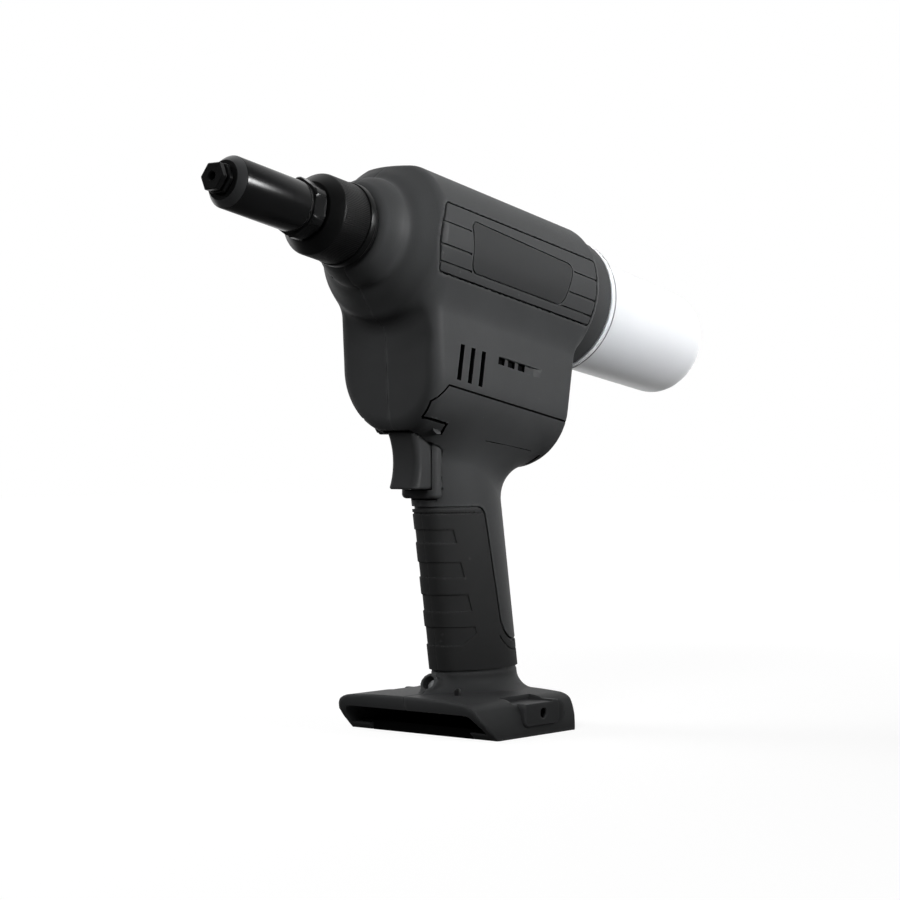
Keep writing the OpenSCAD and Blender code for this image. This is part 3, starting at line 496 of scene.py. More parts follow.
def lamp_house_field(p):
    """Round hood in front of the grip, around the work lamp."""
    a, y, b = to_lamp(p)
    rod = shared(np.hypot(y, b) - LAMP_R - HOOD_WALL, HOOD_BACK - a)
    return round_max(rod, a - HOOD_FRONT, 0.6)


def lamp_bore_field(p):
    """Bore of the hood, with the lamp at its bottom."""
    a, y, b = to_lamp(p)
    return shared(np.hypot(y, b) - LAMP_R - 0.1, LAMP_SEAT - a)


def outer_field(p):
    """The whole outside of the housing, with a wider fillet at the heel of the grip than at its front."""
    heel = smooth_step(p[0] - GRIP_X, HEEL_FROM, HEEL_TO)
    fillet = FRONT_FILLET + (HEEL_FILLET - FRONT_FILLET) * heel
    top = round_min(body_field(p), handle_field(p), fillet)
    foot = round_min(foot_field(p), lamp_house_field(p), 3.5)
    return joined(top, foot)


def slot_field(p):
    """Space that the battery slides into, over the two rails."""
    space = shared(round_max(flank_field(p) + SLOT_WALL, p[2] - SLOT_TOP, 3), RAIL_TOP - p[2])
    gap = shared(np.abs(p[1]) - RAIL_GAP, p[2] - RAIL_TOP - 1)
    return shared(joined(space, gap), p[0] - SLOT_REAR)


def strip_field(p):
    """Hard strip along the back of the grip, beside the rubber."""
    u, _, w = to_grip(p)
    line = STRIP_AT - STRIP_LEAN * (w - STRIP_TOP) - u
    return round_max(line, STRIP_END - w, STRIP_CORNER)


def rubber_region(p):
    """Where the rubber covers the grip, in side view."""
    cut = round_max(p[2] - RUBBER_TOP, -strip_field(p), 4)
    return shared(cut, RUBBER_BOTTOM - p[2])


def rubber_field(p, ease):
    """Rubber skin drawn in at its edges by ease, or its seat where ease is below nothing."""
    u, y, _ = to_grip(p)
    skin = oval(u, y)
    return shared(skin, -skin - RUBBER - min(ease, 0), rubber_region(p) + ease)


def pocket_field(p):
    """Space for the trigger and the frame around it."""
    x, z = p[0] - GRIP_X, p[2] - GRIP_Z
    low, high = BEZEL_LOW - 0.6, BEZEL_HIGH + 0.4
    room = box(p[1], z - (low + high) / 2, BEZEL_HALF + 0.6, (high - low) / 2, 3)
    room = shared(room, span(x, -48, BLADE_BACK))
    way = shared(np.abs(p[1]) - BLADE_HALF - 0.4, span(z, BLADE_LOW - 0.4, BLADE_HIGH + 0.5))
    return joined(room, shared(way, span(x, BLADE_FRONT - 0.9, STEM_BACK - 3)))


def panel_region(p):
    """Place of the rib panel on the barrel's flank, with a bowed front edge."""
    s, _, h = to_barrel(p)
    h = h - PANEL_RISE
    front = PANEL_FROM + PANEL_BOW * (h / PANEL_HALF) ** 2 - s
    return round_max(shared(front, s - PANEL_TO), np.abs(h) - PANEL_HALF, 1.0)


def badge_region(p):
    """Place of the bare badge plate, which narrows to the rear."""
    s, _, h = to_barrel(p)
    ends = shared(BADGE_FROM - BADGE_FRONT_LEAN * h - s, s - BADGE_TO - BADGE_REAR_LEAN * h)
    sides = shared(h - BADGE_HIGH + BADGE_TAPER * (s - BADGE_FROM), BADGE_LOW - h)
    return round_max(ends, sides, BADGE_CORNER)


def cavity_field(p):
    """Room inside the housing for the drive, the switch and the board."""
    s, y, h = to_barrel(p)
    u, _, w = to_grip(p)
    drive = shared(body_field(p) + WALL, DRIVE_FROM - s)
    grip = shared(oval(u, y) + GRIP_WALL, w - GRIP_REACH, GRIP_FLOOR - p[2])
    bore = shared(np.hypot(y, h) - NECK_BORE, s - NECK_BORE_TO)
    exit_way = shared(np.hypot(y, h) - EXIT_R, EXIT_FROM - s)
    return joined(drive, grip, bore, exit_way)


def to_hook(p):
    """Place along the foot from the hook's seat, distance from the middle, and height above the seat."""
    return p[0] - HOOK_X, np.abs(p[1]), p[2] - HOOK_Z


def hook_field(p):
    """Raised seat for a belt hook on each flank of the foot."""
    x, y, z = to_hook(p)
    plate = round_max(box(x, z, 12.3, 5.3, 2.5), span(y, HOOK_IN, HOOK_OUT), 0.5)
    tongue = round_max(box(x - 7.5, z + 0.2, 10.6, 5.0, 4.9), span(y, HOOK_IN, HOOK_TONGUE), 0.3)
    return joined(plate, tongue)


def hook_cuts(p):
    """Bore for the hook thread and the slot above the seat."""
    x, y, z = to_hook(p)
    bore = shared(np.hypot(x - 1, z) - np.where(y > INSERT_TO, HOOK_BORE, INSERT_BORE), HOOK_IN - y)
    slot = shared(box(x + 3.5, z - 6.0, 11.1, 1.4, 0.4), HOOK_IN - 3 - y)
    return joined(bore, slot)


def screw_field(p, radius, low, high):
    """Rods about the body screws, between two distances from the parting plane."""
    s, y, h = to_barrel(p)
    rods = [np.hypot(s - at, h - up) - radius for at, up in BODY_SCREWS]
    return shared(joined(*rods), span(y, low, high))


def housing_field(p, side):
    """Field of one half of the housing."""
    posts = screw_field(p, POST_R, -SCREW_SEAT, POST_TOP)
    ways = screw_field(p, SCREW_HEAD_R + 0.2, SCREW_SEAT, 2 * HOUSE_HALF)
    outside = joined(outer_field(p), hook_field(p), posts)
    seat = shared(panel_region(p) - PANEL_GAP, -body_field(p) - PANEL_DEPTH, SIDE_FROM - np.abs(p[1]))
    spaces = [shared(cavity_field(p), -posts), slot_field(p), ways, rubber_field(p, -RUBBER_SEAT),
              pocket_field(p), seat, hook_cuts(p), lamp_bore_field(p)]
    form = round_max(outside, -joined(*spaces), 0.4)
    return round_max(form, PARTING - side * p[1], 0.5)


def on_surface(s, h, side):
    """Point of the outer surface at a station and height, and the outward direction there."""
    near, out = 0.0, 45.0
    for _ in range(24):
        middle = (near + out) / 2
        p = np.array(from_barrel(s, side * middle, h), float)[:, None]
        if outer_field(p)[0] < 0:
            near = middle
        else:
            out = middle
    point = np.array(from_barrel(s, side * near, h), float)
    return point, slope(outer_field, point[None])[0]


def groove(side, places, width, depth):
    """Bar that cuts a groove along a line of (station, height) places on the flank."""
    line = []
    for (s0, h0), (s1, h1) in zip(places, places[1:]):
        count = max(1, int(math.hypot(s1 - s0, h1 - h0) / 1.5))
        line += [(s0 + (s1 - s0) * k / count, h0 + (h1 - h0) * k / count) for k in range(count)]
    line.append(places[-1])
    spots = [on_surface(s, h, side) for s, h in line]
    points = []
    for k, (point, out) in enumerate(spots):
        run = spots[min(k + 1, len(spots) - 1)][0] - spots[max(k - 1, 0)][0]
        across = np.cross(run / np.linalg.norm(run), out) * width / 2
        points += [point + across + out, point - across + out]
        points += [point - across - out * depth, point + across - out * depth]
    return np.array(points), bar_faces(len(spots))


def bar(side, s0, s1, h0, h1, deep):
    """Bar into the flank over a rectangle of stations and heights, deep below the flank."""
    outline = [(s0, h0), (s1, h0), (s1, h1), (s0, h1)]
    reaches = (HOUSE_HALF + CUT_PROUD, HOUSE_HALF - deep)
    points = [from_barrel(s, side * reach, h) for reach in reaches for s, h in outline]
    return np.array(points), bar_faces(2)


def bar_row(side, first, width, pitch, low, high, deep):
    """Three such bars in a row."""
    starts = [first + pitch * i for i in range(3)]
    return [bar(side, start, start + width, low, high, deep) for start in starts]


def ramp(side, s0, s1, h0, h1, deep):
    """Wedge that rises from deep at s0 to the flank at s1."""
    corners = [(s0, -deep), (s1, 0.05), (s1, 1.0), (s0, 1.0)]
    points = [from_barrel(s, side * (HOUSE_HALF + y), h) for h in (h0, h1) for s, y in corners]
    return np.array(points), bar_faces(2)


def flank_cuts(side):
    """The shallow louvre recess of one side, and its deep cuts, whose cut faces take the painted shade:
    vents, cells and moulded grooves.
    """
    shallow = [bar(side, LOUVRE_FROM, LOUVRE_TO, LOUVRE_LOW, LOUVRE_HIGH, LOUVRE_DEPTH),
               ramp(side, LOUVRE_TO - 0.05, LOUVRE_END, LOUVRE_LOW, LOUVRE_HIGH, LOUVRE_DEPTH)]
    deep = bar_row(side, *VENTS) + bar_row(side, *CELLS)
    deep += [groove(side, *line) for line in (LOWER_SEAM, REAR_SEAM, FRONT_STEP, FAINT_SEAM)]
    if side > 0:
        deep.append(groove(side, *NECK_NOTCH))
    return shallow, deep


def outward(points, faces):
    """The four-sided faces of a closed form, turned to face out of it."""
    a, b, c, d = (points[faces[:, k]] for k in range(4))
    volume = np.sum(a * (np.cross(b, c) + np.cross(c, d)))
    return faces if volume > 0 else faces[:, ::-1]


def cut_away(obj, cuts, slot):
    """Cuts bars out of a mesh, one after the other; the cut faces take the mesh's material of that slot."""
    for number, (points, faces) in enumerate(cuts):
        tool = mesh_object("cutter_%d" % number, points, outward(points, faces))
        for material in obj.data.materials:
            tool.data.materials.append(material)
        tool.data.polygons.foreach_set("material_index", np.full(len(faces), slot, np.int32))
        modifier = obj.modifiers.new("cut", "BOOLEAN")
        modifier.operation = "DIFFERENCE"
        modifier.solver = SOLVER
        modifier.material_mode = "INDEX"
        modifier.object = tool
        seen = bpy.context.evaluated_depsgraph_get()
        mesh = bpy.data.meshes.new_from_object(obj.evaluated_get(seen))
        obj.modifiers.clear()
        old, obj.data = obj.data, mesh
        bpy.data.meshes.remove(old)
        bpy.data.objects.remove(tool)
    shade_smooth(obj.data)


def make_housing(name, side):
    """One half of the housing."""
    return half_mesh(name, housing_field, side, (-86, -1), (64, 250), 44, HOUSING_CELL)


# Panels, badges, grips, trigger


def panel_field(p, side):
    """Rib panel with three grooves at each end and a shallow seat for the badge."""
    h = to_barrel(p)[2]
    skin, badge = body_field(p), badge_region(p)
    form = round_max(shared(skin, -skin - PANEL_DEPTH), panel_region(p), 0.35)
    cuts = shared(badge - BADGE_GAP, -skin - BADGE_DEPTH)
    for rib in RIBS:
        line = shared(np.abs(h - rib) - RIB_HALF, RIB_STOP - badge)
        cuts = joined(cuts, shared(line, -skin - RIB_DEPTH))
    return shared(form, -cuts, SIDE_FROM - side * p[1])


def badge_field(p, side):
    """Bare badge plate with softened edges."""
    skin = body_field(p)
    form = round_max(shared(skin - 0.1, -skin - BADGE_DEPTH), badge_region(p), 0.3)
    return shared(form, SIDE_FROM - side * p[1])


def flank_mesh(name, field, side, pitch):
    """Mesh of a piece that lies on the barrel's flank."""
    near, far = sorted((24 * side, 36 * side))
    return dual_mesh(name, lambda p: field(p, side), [-60, near, 166], [58, far, 234], pitch)


def pad_field(p, number):
    """One finger pad of the grip in side view; the last is cut off slanting at its lower rear."""
    u = to_grip(p)[0]
    top, height, back = PADS[number]
    pad = shared(span(p[2], top - height, top), u - back - PAD_SLANT * (top - p[2]))
    if number < len(PADS) - 1:
        return pad
    return shared(pad, (u - back) * 0.6 + (top - p[2] - 3) * 0.8)


def grip_field(p, side):
    """Rubber skin with a line below its top, an arc at its rear and four sunk finger pads."""
    u, y, w = to_grip(p)
    skin = oval(u, y)
    pads = joined(*[pad_field(p, number) for number in range(len(PADS))])
    line = span(p[2], RUBBER_TOP - 2.9, RUBBER_TOP - 2.1)
    arc = shared(np.abs(strip_field(p) - 4.6) - 0.35, w + 58)
    lines = shared(joined(line, arc), -skin - LINE_DEPTH)
    cuts = joined(shared(pads, -skin - PAD_DEPTH), lines)
    form = round_max(rubber_field(p, RUBBER_EDGE), -cuts, 0.25)
    return round_max(form, PARTING - side * y, 0.35)


def make_grip(name, side):
    """One half of the rubber grip."""
    return half_mesh(name, grip_field, side, (-34, 25), (40, 101), 16, GRIP_CELL)


def trigger_field(p):
    """Trigger blade with a hollow front and rounded edges, and its stem."""
    x, z = p[0] - GRIP_X, p[2] - GRIP_Z
    lean = (BLADE_FRONT + (BLADE_HIGH - z) * BLADE_LEAN - x) / math.hypot(1, BLADE_LEAN)
    hollow = HOLLOW_R - np.hypot(x - HOLLOW_AT + HOLLOW_R, z - STEM_Z)
    plan = round_max(np.abs(p[1]) - BLADE_HALF, shared(lean, hollow), 3.2)
    blade = round_max(shared(plan, x - BLADE_BACK), span(z, BLADE_LOW, BLADE_HIGH), 1.2)
    stem = shared(np.hypot(p[1], z - STEM_Z) - STEM_R, span(x, BLADE_BACK - 1, STEM_BACK))
    return joined(blade, stem)


def make_trigger():
    """Trigger in one piece with its stem."""
    return dual_mesh("trigger_form", trigger_field, [-50, -9, 106], [-12, 9, 134], TRIGGER_CELL)


def bezel_field(p):
    """Frame below and behind the trigger."""
    x, z = p[0] - GRIP_X, p[2] - GRIP_Z
    plan = round_max(np.abs(p[1]) - BEZEL_HALF, BEZEL_FRONT - x, 4)
    form = shared(round_max(plan, BEZEL_LOW - z, 2.0), x - BEZEL_BACK, z - BEZEL_HIGH)
    way = shared(np.abs(p[1]) - BLADE_HALF - BEZEL_GAP, span(z, BLADE_LOW - BEZEL_GAP, 40))
    return round_max(form, -way, 0.4)


def make_bezel():
    """Frame around the trigger's way into the housing."""
    return dual_mesh("trigger_bezel_form", bezel_field, [-36, -11, 102], [-25, 11, 129], TRIGGER_CELL)


# Nose, rear ring and bottle


def make_nosepiece():
    """Hexagon nosepiece with a ring behind it and the mandrel bore."""
    rings = [(3, 1.7), (-9.2, 1.7), (-9.7, 2.2), (-9.7, 5.85), (-9.3, 6.25), (-7.2, 6.25), (-6.9, 5.4),
             (-6.8, 4.7), (-6.2, 4.7), (-6.0, 6.3), (-5.7, 6.55), (-4.1, 6.55), (-3.8, 6.2), (-3.7, 4.5),
             (-3.6, 4), (3, 4)]
    flats = {3: 10.2, 4: 11.0, 5: 11.0, 6: 10.2, 9: 11.4, 10: 11.8, 11: 11.8, 12: 11.4}

    def shape(number, angle, r):
        return np.minimum(hexagon(angle, flats[number]), r) if number in flats else r

    return lathe("nosepiece_form", rings, 192, shape)


def make_sleeve():
    """Nose sleeve with a turned front chamfer and a hexagon flange, and the slot of each of its faces."""
    front = [(3, 4), (-3.6, 4), (-3.6, 8.1), (-3.45, 8.35), (-0.2, SLEEVE_R - 0.15), (0.1, SLEEVE_R)]
    waist = [(37.4, SLEEVE_R), (37.9, SLEEVE_WAIST_R), (38.4, SLEEVE_WAIST_R)]
    flange = [(38.6, FLANGE_R - 0.7), (39.3, FLANGE_R), (44.6, FLANGE_R), (45.4, FLANGE_R - 0.7)]
    rear = [(45.6, SLEEVE_WAIST_R), (60, SLEEVE_WAIST_R), (60, 8.6), (3, 8.6)]
    flange_from = len(front + waist)

    def shape(number, angle, r):
        if number in range(flange_from, flange_from + len(flange)):
            return np.minimum(hexagon(angle + math.pi / 6, FLANGE_FLATS), r)
        return r

    steps, chamfer_ring = 180, 3
    sleeve = lathe("nose_sleeve_form", front + waist + flange + rear, steps, shape)
    chamfer = np.zeros(len(sleeve.data.polygons), np.int32)
    chamfer[chamfer_ring * steps:(chamfer_ring + 1) * steps] = 1
    return sleeve, chamfer


def make_lens():
    """Domed lens of the work lamp."""
    turn = np.radians(np.arange(0, 91, 10))
    back, radius = LAMP_SEAT + 0.2, LAMP_R - 0.05
    rings = [(back, AXIS_R), (back, radius)]
    rings += [(LENS_RIM + LENS_RISE * math.sin(a), AXIS_R + (radius - AXIS_R) * math.cos(a)) for a in turn]
    return lathe("lamp_lens_form", rings, 64, None, from_lamp)


def make_collar():
    """Collar nut with a polished chamfer, a fine straight knurl and a plain band."""
    front = [(46.5, 10.65), (46.5, 12.9), (46.8, 13.3), (50.4, 17.1), (51.2, 17.5)]
    knurl = [(51.5, COLLAR_R), (66.0, COLLAR_R)]
    band = [(66.2, 17.4), (66.5, 17.4), (66.7, 18.0), (67.1, COLLAR_BAND_R), (69.6, COLLAR_BAND_R)]
    rear = [(70.4, 17.6), (70.5, 12.45), (47.0, 12.45), (47.0, 10.65)]

    def shape(number, angle, r):
        if number in (len(front), len(front) + 1):
            return r - KNURL_DEPTH * (0.5 + 0.5 * np.cos(angle * KNURLS))
        return r

    return lathe("collar_nut_form", front + knurl + band + rear, KNURLS * 6, shape)


def make_seal():
    """Seal between the collar and the neck."""
    rings = [(70.52, 12.45), (70.52, 17.0), (71.0, 17.3), (71.6, 17.3), (71.95, 17.0), (71.95, 12.45)]
    return lathe("collar_seal_form", rings, 160)


def make_spring(name, place, front, rear, reach):
    """Coil spring of five turns between two places along an axis, its wire one closed tube."""
    turns, steps, sides = 5, 24, 8
    count = turns * steps
    turn = np.arange(count + 1)[:, None] * 2 * math.pi / steps
    ring = np.arange(sides) * 2 * math.pi / sides
    lead = np.arange(count + 1)[:, None] / count * (rear - front - 2 * SPRING_WIRE)
    along = front + (SPRING_WIRE + lead + SPRING_WIRE * np.sin(ring))
    out = reach + SPRING_WIRE * np.cos(ring)
    points = np.stack(place(along, out * np.cos(turn), out * np.sin(turn)), -1).reshape(-1, 3)
    cap = np.array([[3, 2, 1, 0], [7, 4, 3, 0], [7, 6, 5, 4]])
    faces = np.concatenate([tube_faces(count + 1, sides), cap, cap[:, ::-1] + count * sides])
    return mesh_object(name, points, outward(points, faces))


def build_spring(node, moving, still, place, front, rear, reach):
    """Spring in place of a CAD node, stretched from front to rear between the piece that it pushes and the
    one it rests on; moving and still are not used.
    """
    obj = make_spring(node + "_form", place, front, rear, reach)
    start, end = (tuple(np.array(place(along, 0, 0)) / METRE) for along in (front, rear))
    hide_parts(node)
    give_finish(obj, BRIGHT_STEEL)
    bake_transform(obj)


def build_springs():
    """Springs of the trigger and of the jaw pusher."""
    low, high = (np.array(corner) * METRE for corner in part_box("trigger_spring"))
    middle, reach = (low[2] + high[2]) / 2, (high[2] - low[2]) / 2 - SPRING_WIRE

    def level(x, y, h):
        """Point about the level axis of the trigger's spring."""
        return x, y, middle + h

    build_spring("trigger_spring", "trigger", "tool_body", level, low[0], high[0], reach)
    build_spring("pusher_spring", "pusher", "pull_rod", from_barrel, *PUSHER_SPRING)


def make_rear_ring():
    """Black ring that the bottle locks into."""
    rings = [(207.02, 24), (207.02, 31.2), (207.6, 31.9), (219.8, 31.9), (220.6, 31.7), (221.2, 31.0),
             (221.28, 24)]
    return lathe("rear_ring_form", rings, 200)


def make_bottle():
    """Frosted bottle: flange, tapered wall and rounded end, with a real wall thickness."""
    turn = np.radians(np.arange(0, 91, 9))

    def end_rings(inset):
        """Rings of the rounded end, set in from the outside."""
        edge, out, end = BOTTLE_EDGE - inset, BOTTLE_R - inset, BOTTLE_END - inset
        return [(end - edge * (1 - math.sin(a)), out - edge * (1 - math.cos(a))) for a in turn]

    rings = [(213, 21.7), (213, 23.7), (221.32, 23.7), (221.32, 31.0), (221.7, 31.6), (224.3, 31.6),
             (224.6, 31.3), (224.62, 27.0)]
    rings += end_rings(0)
    rings += [(BOTTLE_END, AXIS_R), (BOTTLE_END - BOTTLE_WALL, AXIS_R)]
    rings += end_rings(BOTTLE_WALL)[::-1]
    rings += [(224.62, 21.7)]
    return lathe("bottle_form", rings, 160)


def make_bottle_seal():
    """Thin grey ring behind the flange."""
    rings = [(224.64, 27.05), (224.64, 31.3), (224.8, 31.6), (225.2, 31.6), (225.3, 31.4), (225.3, 27.05)]
    return lathe("bottle_seal_form", rings, 200)


# Materials


BLACK, WHITE = (0, 0, 0, 1), (1, 1, 1, 1)


def add_node(nodes, kind, **values):
    """New shader node with its input values by name."""
    node = nodes.new("ShaderNode" + kind)
    for key, value in values.items():
        node.inputs[key.replace("_", " ")].default_value = value
    return node


def add_maths(nodes, links, operation, *values):
    """Output of a math node on values that are numbers or the outputs of other nodes."""
    node = nodes.new("ShaderNodeMath")
    node.operation = operation
    for socket, value in zip(node.inputs, values):
        if isinstance(value, (int, float)):
            socket.default_value = value
        else:
            links.new(value, socket)
    return node.outputs[0]


class Paint:
    """A material's node tree, with short calls for the nodes that the finishes share."""

    def __init__(self, name):
        self.material = bpy.data.materials.new(name)
        self.material.use_nodes = True
        self.nodes = self.material.node_tree.nodes
        self.links = self.material.node_tree.links
        self.shader = next(n for n in self.nodes if n.type == "BSDF_PRINCIPLED")
        self.place = self.nodes.new("ShaderNodeTexCoord").outputs["Object"]

    def set(self, **values):
        for key, value in values.items():
            self.shader.inputs[key.replace("_", " ")].default_value = value

    def noise(self, scale, detail=3.0, roughness=0.55):
        node = add_node(self.nodes, "TexNoise", Scale=scale, Detail=detail, Roughness=roughness)
        self.links.new(self.place, node.inputs["Vector"])
        return node.outputs["Fac"]

    def specks(self, scale, reach):
        node = add_node(self.nodes, "TexVoronoi", Scale=scale)
        self.links.new(self.place, node.inputs["Vector"])
        return self.ramp(node.outputs["Distance"], 0, WHITE, reach, BLACK)

    def ramp(self, value, low, low_colour, high, high_colour):
        node = self.nodes.new("ShaderNodeValToRGB")
        first, last = node.color_ramp.elements
        first.position, first.color = low, low_colour
        last.position, last.color = high, high_colour
        self.links.new(value, node.inputs["Fac"])
        return node.outputs["Color"]

    def span(self, value, low, high):
        node = add_node(self.nodes, "MapRange", To_Min=low, To_Max=high)
        self.links.new(value, node.inputs["Value"])
        return node.outputs["Result"]

    def mix(self, share, a, b):
        node = self.nodes.new("ShaderNodeMix")
        node.data_type = "RGBA"
        self.links.new(share, node.inputs[0])
        for socket, colour in ((node.inputs[6], a), (node.inputs[7], b)):
            if isinstance(colour, tuple):
                socket.default_value = colour
            else:
                self.links.new(colour, socket)
        return node.outputs[2]

    def times(self, a, b):
        return add_maths(self.nodes, self.links, "MULTIPLY", a, b)

    def edges(self, low=0.51, high=0.58):
        """One on outer edges, where wear shows."""
        node = self.nodes.new("ShaderNodeNewGeometry")
        return self.ramp(node.outputs["Pointiness"], low, BLACK, high, WHITE)

    def bump(self, height, strength, distance):
        node = add_node(self.nodes, "Bump", Strength=strength, Distance=distance)
        self.links.new(height, node.inputs["Height"])
        self.links.new(node.outputs["Normal"], self.shader.inputs["Normal"])

    def colour(self, socket):
        self.links.new(socket, self.shader.inputs["Base Color"])

    def rough(self, socket):
        self.links.new(socket, self.shader.inputs["Roughness"])


def grey(value, blue=0.0):
    """Grey of that linear value, a little bluer if asked."""
    return (value, value * (1 + blue / 2), value * (1 + blue), 1.0)


def plastic(name, dark, light, rough, grain, dust=0.35, gloss=0.08):
    """Moulded plastic with a fine spark-eroded grain, worn edges and a few dust specks."""
    paint = Paint(name)
    base = paint.mix(paint.noise(55, 4), grey(dark, 0.05), grey(light, 0.05))
    worn = paint.mix(paint.times(paint.edges(), 0.35), base, grey(light * 2.2, 0.04))
    patches = paint.ramp(paint.noise(38, 2), 0.5, BLACK, 0.62, WHITE)
    specks = paint.times(paint.specks(260, 0.035), patches)
    paint.colour(paint.mix(paint.times(specks, dust), worn, grey(0.5)))
    paint.rough(paint.span(paint.noise(900, 2), rough - 0.06, rough + 0.06))
    paint.bump(paint.noise(grain, 2, 0.7), 0.22, 0.0002)
    paint.set(Specular_IOR_Level=gloss)
    return paint.material


def rubber(name, dark, light):
    """Soft grip rubber, duller than the shell."""
    paint = Paint(name)
    base = paint.mix(paint.noise(40, 4), grey(dark, 0.03), grey(light, 0.03))
    paint.colour(paint.mix(paint.times(paint.edges(), 0.3), base, grey(light * 2.0)))
    paint.rough(paint.span(paint.noise(700, 2), 0.56, 0.7))
    paint.bump(paint.noise(2600, 2, 0.7), 0.2, 0.0002)
    paint.set(Specular_IOR_Level=0.08)
    return paint.material


def blacked_steel(name, rough, tone, grain, gloss, worn):
    """Black-oxide steel with turning marks along the axis and bright worn edges."""
    paint = Paint(name)
    turned = add_node(paint.nodes, "Mapping", Rotation=(0, -PITCH, 0), Scale=(grain, 3, 3))
    paint.links.new(paint.place, turned.inputs["Vector"])
    lines = add_node(paint.nodes, "TexNoise", Scale=1.0)
    paint.links.new(turned.outputs["Vector"], lines.inputs["Vector"])
    base = paint.mix(paint.noise(60, 4), grey(tone, 0.06), grey(tone * 1.7, 0.06))
    paint.colour(paint.mix(paint.times(paint.edges(0.52, 0.6), worn), base, grey(0.3)))
    paint.rough(paint.span(lines.outputs["Fac"], rough - 0.05, rough + 0.09))
    paint.bump(lines.outputs["Fac"], 0.05, 0.0001)
    paint.set(Metallic=0.3, Specular_IOR_Level=gloss)
    return paint.material


def metal(name, colour, rough, grain=1800):
    """Machined metal with a fine grain."""
    paint = Paint(name)
    light = tuple(min(1.0, c * 1.25) for c in colour[:3]) + (1.0,)
    base = paint.mix(paint.noise(45, 4), colour, light)
    paint.colour(paint.mix(paint.times(paint.edges(), 0.4), base, light))
    paint.rough(paint.span(paint.noise(grain, 2), rough - 0.08, rough + 0.1))
    paint.bump(paint.noise(grain, 2), 0.08, 0.0001)
    paint.set(Metallic=1.0)
    return paint.material


def frosted(name):
    """Frosted translucent plastic of the bottle."""
    paint = Paint(name)
    paint.colour(paint.mix(paint.noise(18, 3), (0.88, 0.91, 0.95, 1), (0.95, 0.96, 0.98, 1)))
    paint.rough(paint.span(paint.noise(900, 2), 0.34, 0.46))
    paint.bump(paint.noise(1500, 2), 0.06, 0.0001)
    paint.set(Transmission_Weight=0.45, IOR=1.3)
    return paint.material


def clear(name):
    """Clear lens of the work lamp."""
    paint = Paint(name)
    paint.colour(paint.mix(paint.noise(200, 2), (0.9, 0.93, 0.95, 1), WHITE))
    paint.rough(paint.span(paint.noise(1200, 2), 0.03, 0.08))
    paint.set(Transmission_Weight=0.8, IOR=1.5)
    return paint.material


def board_green(name):
    """Solder mask over faint copper tracks."""
    paint = Paint(name)
    tracks = paint.ramp(paint.noise(260, 1), 0.49, BLACK, 0.5, WHITE)
    paint.colour(paint.mix(tracks, (0.01, 0.09, 0.035, 1), (0.02, 0.14, 0.05, 1)))
    paint.rough(paint.span(paint.noise(600, 2), 0.3, 0.42))
    return paint.material


# Pieces on the frame


def give_finish(obj, material):
    """Makes a material the only one of a piece."""
    obj.data.materials.clear()
    obj.data.materials.append(material)


def dress(obj, body, slot, material, *nodes):
    """Puts a piece on its body in place of CAD nodes, with its finish."""
    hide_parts(*nodes)
    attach(obj, body)
    give_finish(obj, material)


SHELL = plastic("shell_plastic", 0.032, 0.043, 0.5, 2100)
PANEL = plastic("panel_plastic", 0.031, 0.041, 0.48, 2300)
BADGE = plastic("badge_plastic", 0.024, 0.03, 0.42, 3000, 0.15)
TRIGGER = plastic("trigger_plastic", 0.026, 0.034, 0.42, 2600, 0.15)
ELECTRIC = plastic("electric_plastic", 0.006, 0.01, 0.4, 2400, 0.1, 0.4)
# Painted shade: the near-black, matte slot cover stands for the dark inside of the battery slot.
SLOT_COVER_PAINTED_SHADE = plastic("cover_painted_shade", 0.002, 0.003, 0.8, 2400, 0.05, 0.02)
# Painted shade: near-black faces of the flank's deep cuts, in vents, cells and grooves.
GROOVE_PAINTED_SHADE = plastic("groove_painted_shade", 0.002, 0.003, 0.8, 2400, 0.0, 0.02)
RUBBER_SKIN = rubber("grip_rubber", 0.02, 0.027)
SEAL_RUBBER = rubber("seal_rubber", 0.004, 0.007)
RING_GREY = rubber("ring_grey", 0.22, 0.3)
SLEEVE_STEEL = blacked_steel("sleeve_steel", 0.2, 0.005, 900, 0.2, 0.5)
TURNED_STEEL = blacked_steel("turned_chamfer", 0.3, 0.02, 2600, 0.5, 0.5)
COLLAR_STEEL = blacked_steel("collar_steel", 0.34, 0.0035, 700, 0.15, 0.0)
BRIGHT_STEEL = metal("bright_steel", (0.6, 0.61, 0.63, 1), 0.26)
STEEL = metal("machined_steel", (0.35, 0.36, 0.38, 1), 0.34)
PLATES = metal("cast_plates", (0.4, 0.41, 0.43, 1), 0.46, 700)
COPPER = metal("rotor_windings", (0.35, 0.2, 0.1, 1), 0.4, 900)
# Contact metal, its colour darkened as painted shade for the dark inside of the battery slot.
CONTACT_PAINTED_SHADE = metal("contact_metal_painted_shade", (0.16, 0.14, 0.11, 1), 0.45)
BOTTLE = frosted("frosted_bottle")
LENS = clear("lamp_lens_clear")
BOARD = board_green("board_mask")

# Finishes of the record's material slots, and of the nodes that differ from their slot
SLOT_FINISH = {"shell": SHELL, "panel": PANEL, "badge": BADGE, "grip": RUBBER_SKIN, "trigger": TRIGGER,
               "electric": ELECTRIC, "board": BOARD, "lamp": LENS, "contacts": CONTACT_PAINTED_SHADE,
               "black_steel": COLLAR_STEEL, "bright_steel": BRIGHT_STEEL, "steel": STEEL, "plates": PLATES,
               "rotor": COPPER, "bottle": BOTTLE, "bottle_ring": RING_GREY}
# motor_can wears the near-black collar steel as painted shade, so the motor seen through the flank's cuts
# stays dark.
NODE_FINISH = {"motor_can": COLLAR_STEEL, "hook_inserts": COLLAR_STEEL, "housing_screws": TURNED_STEEL,
               # slot_cover takes the painted shade of the battery slot.
               "slot_cover": SLOT_COVER_PAINTED_SHADE, "charge_lamp": ELECTRIC}


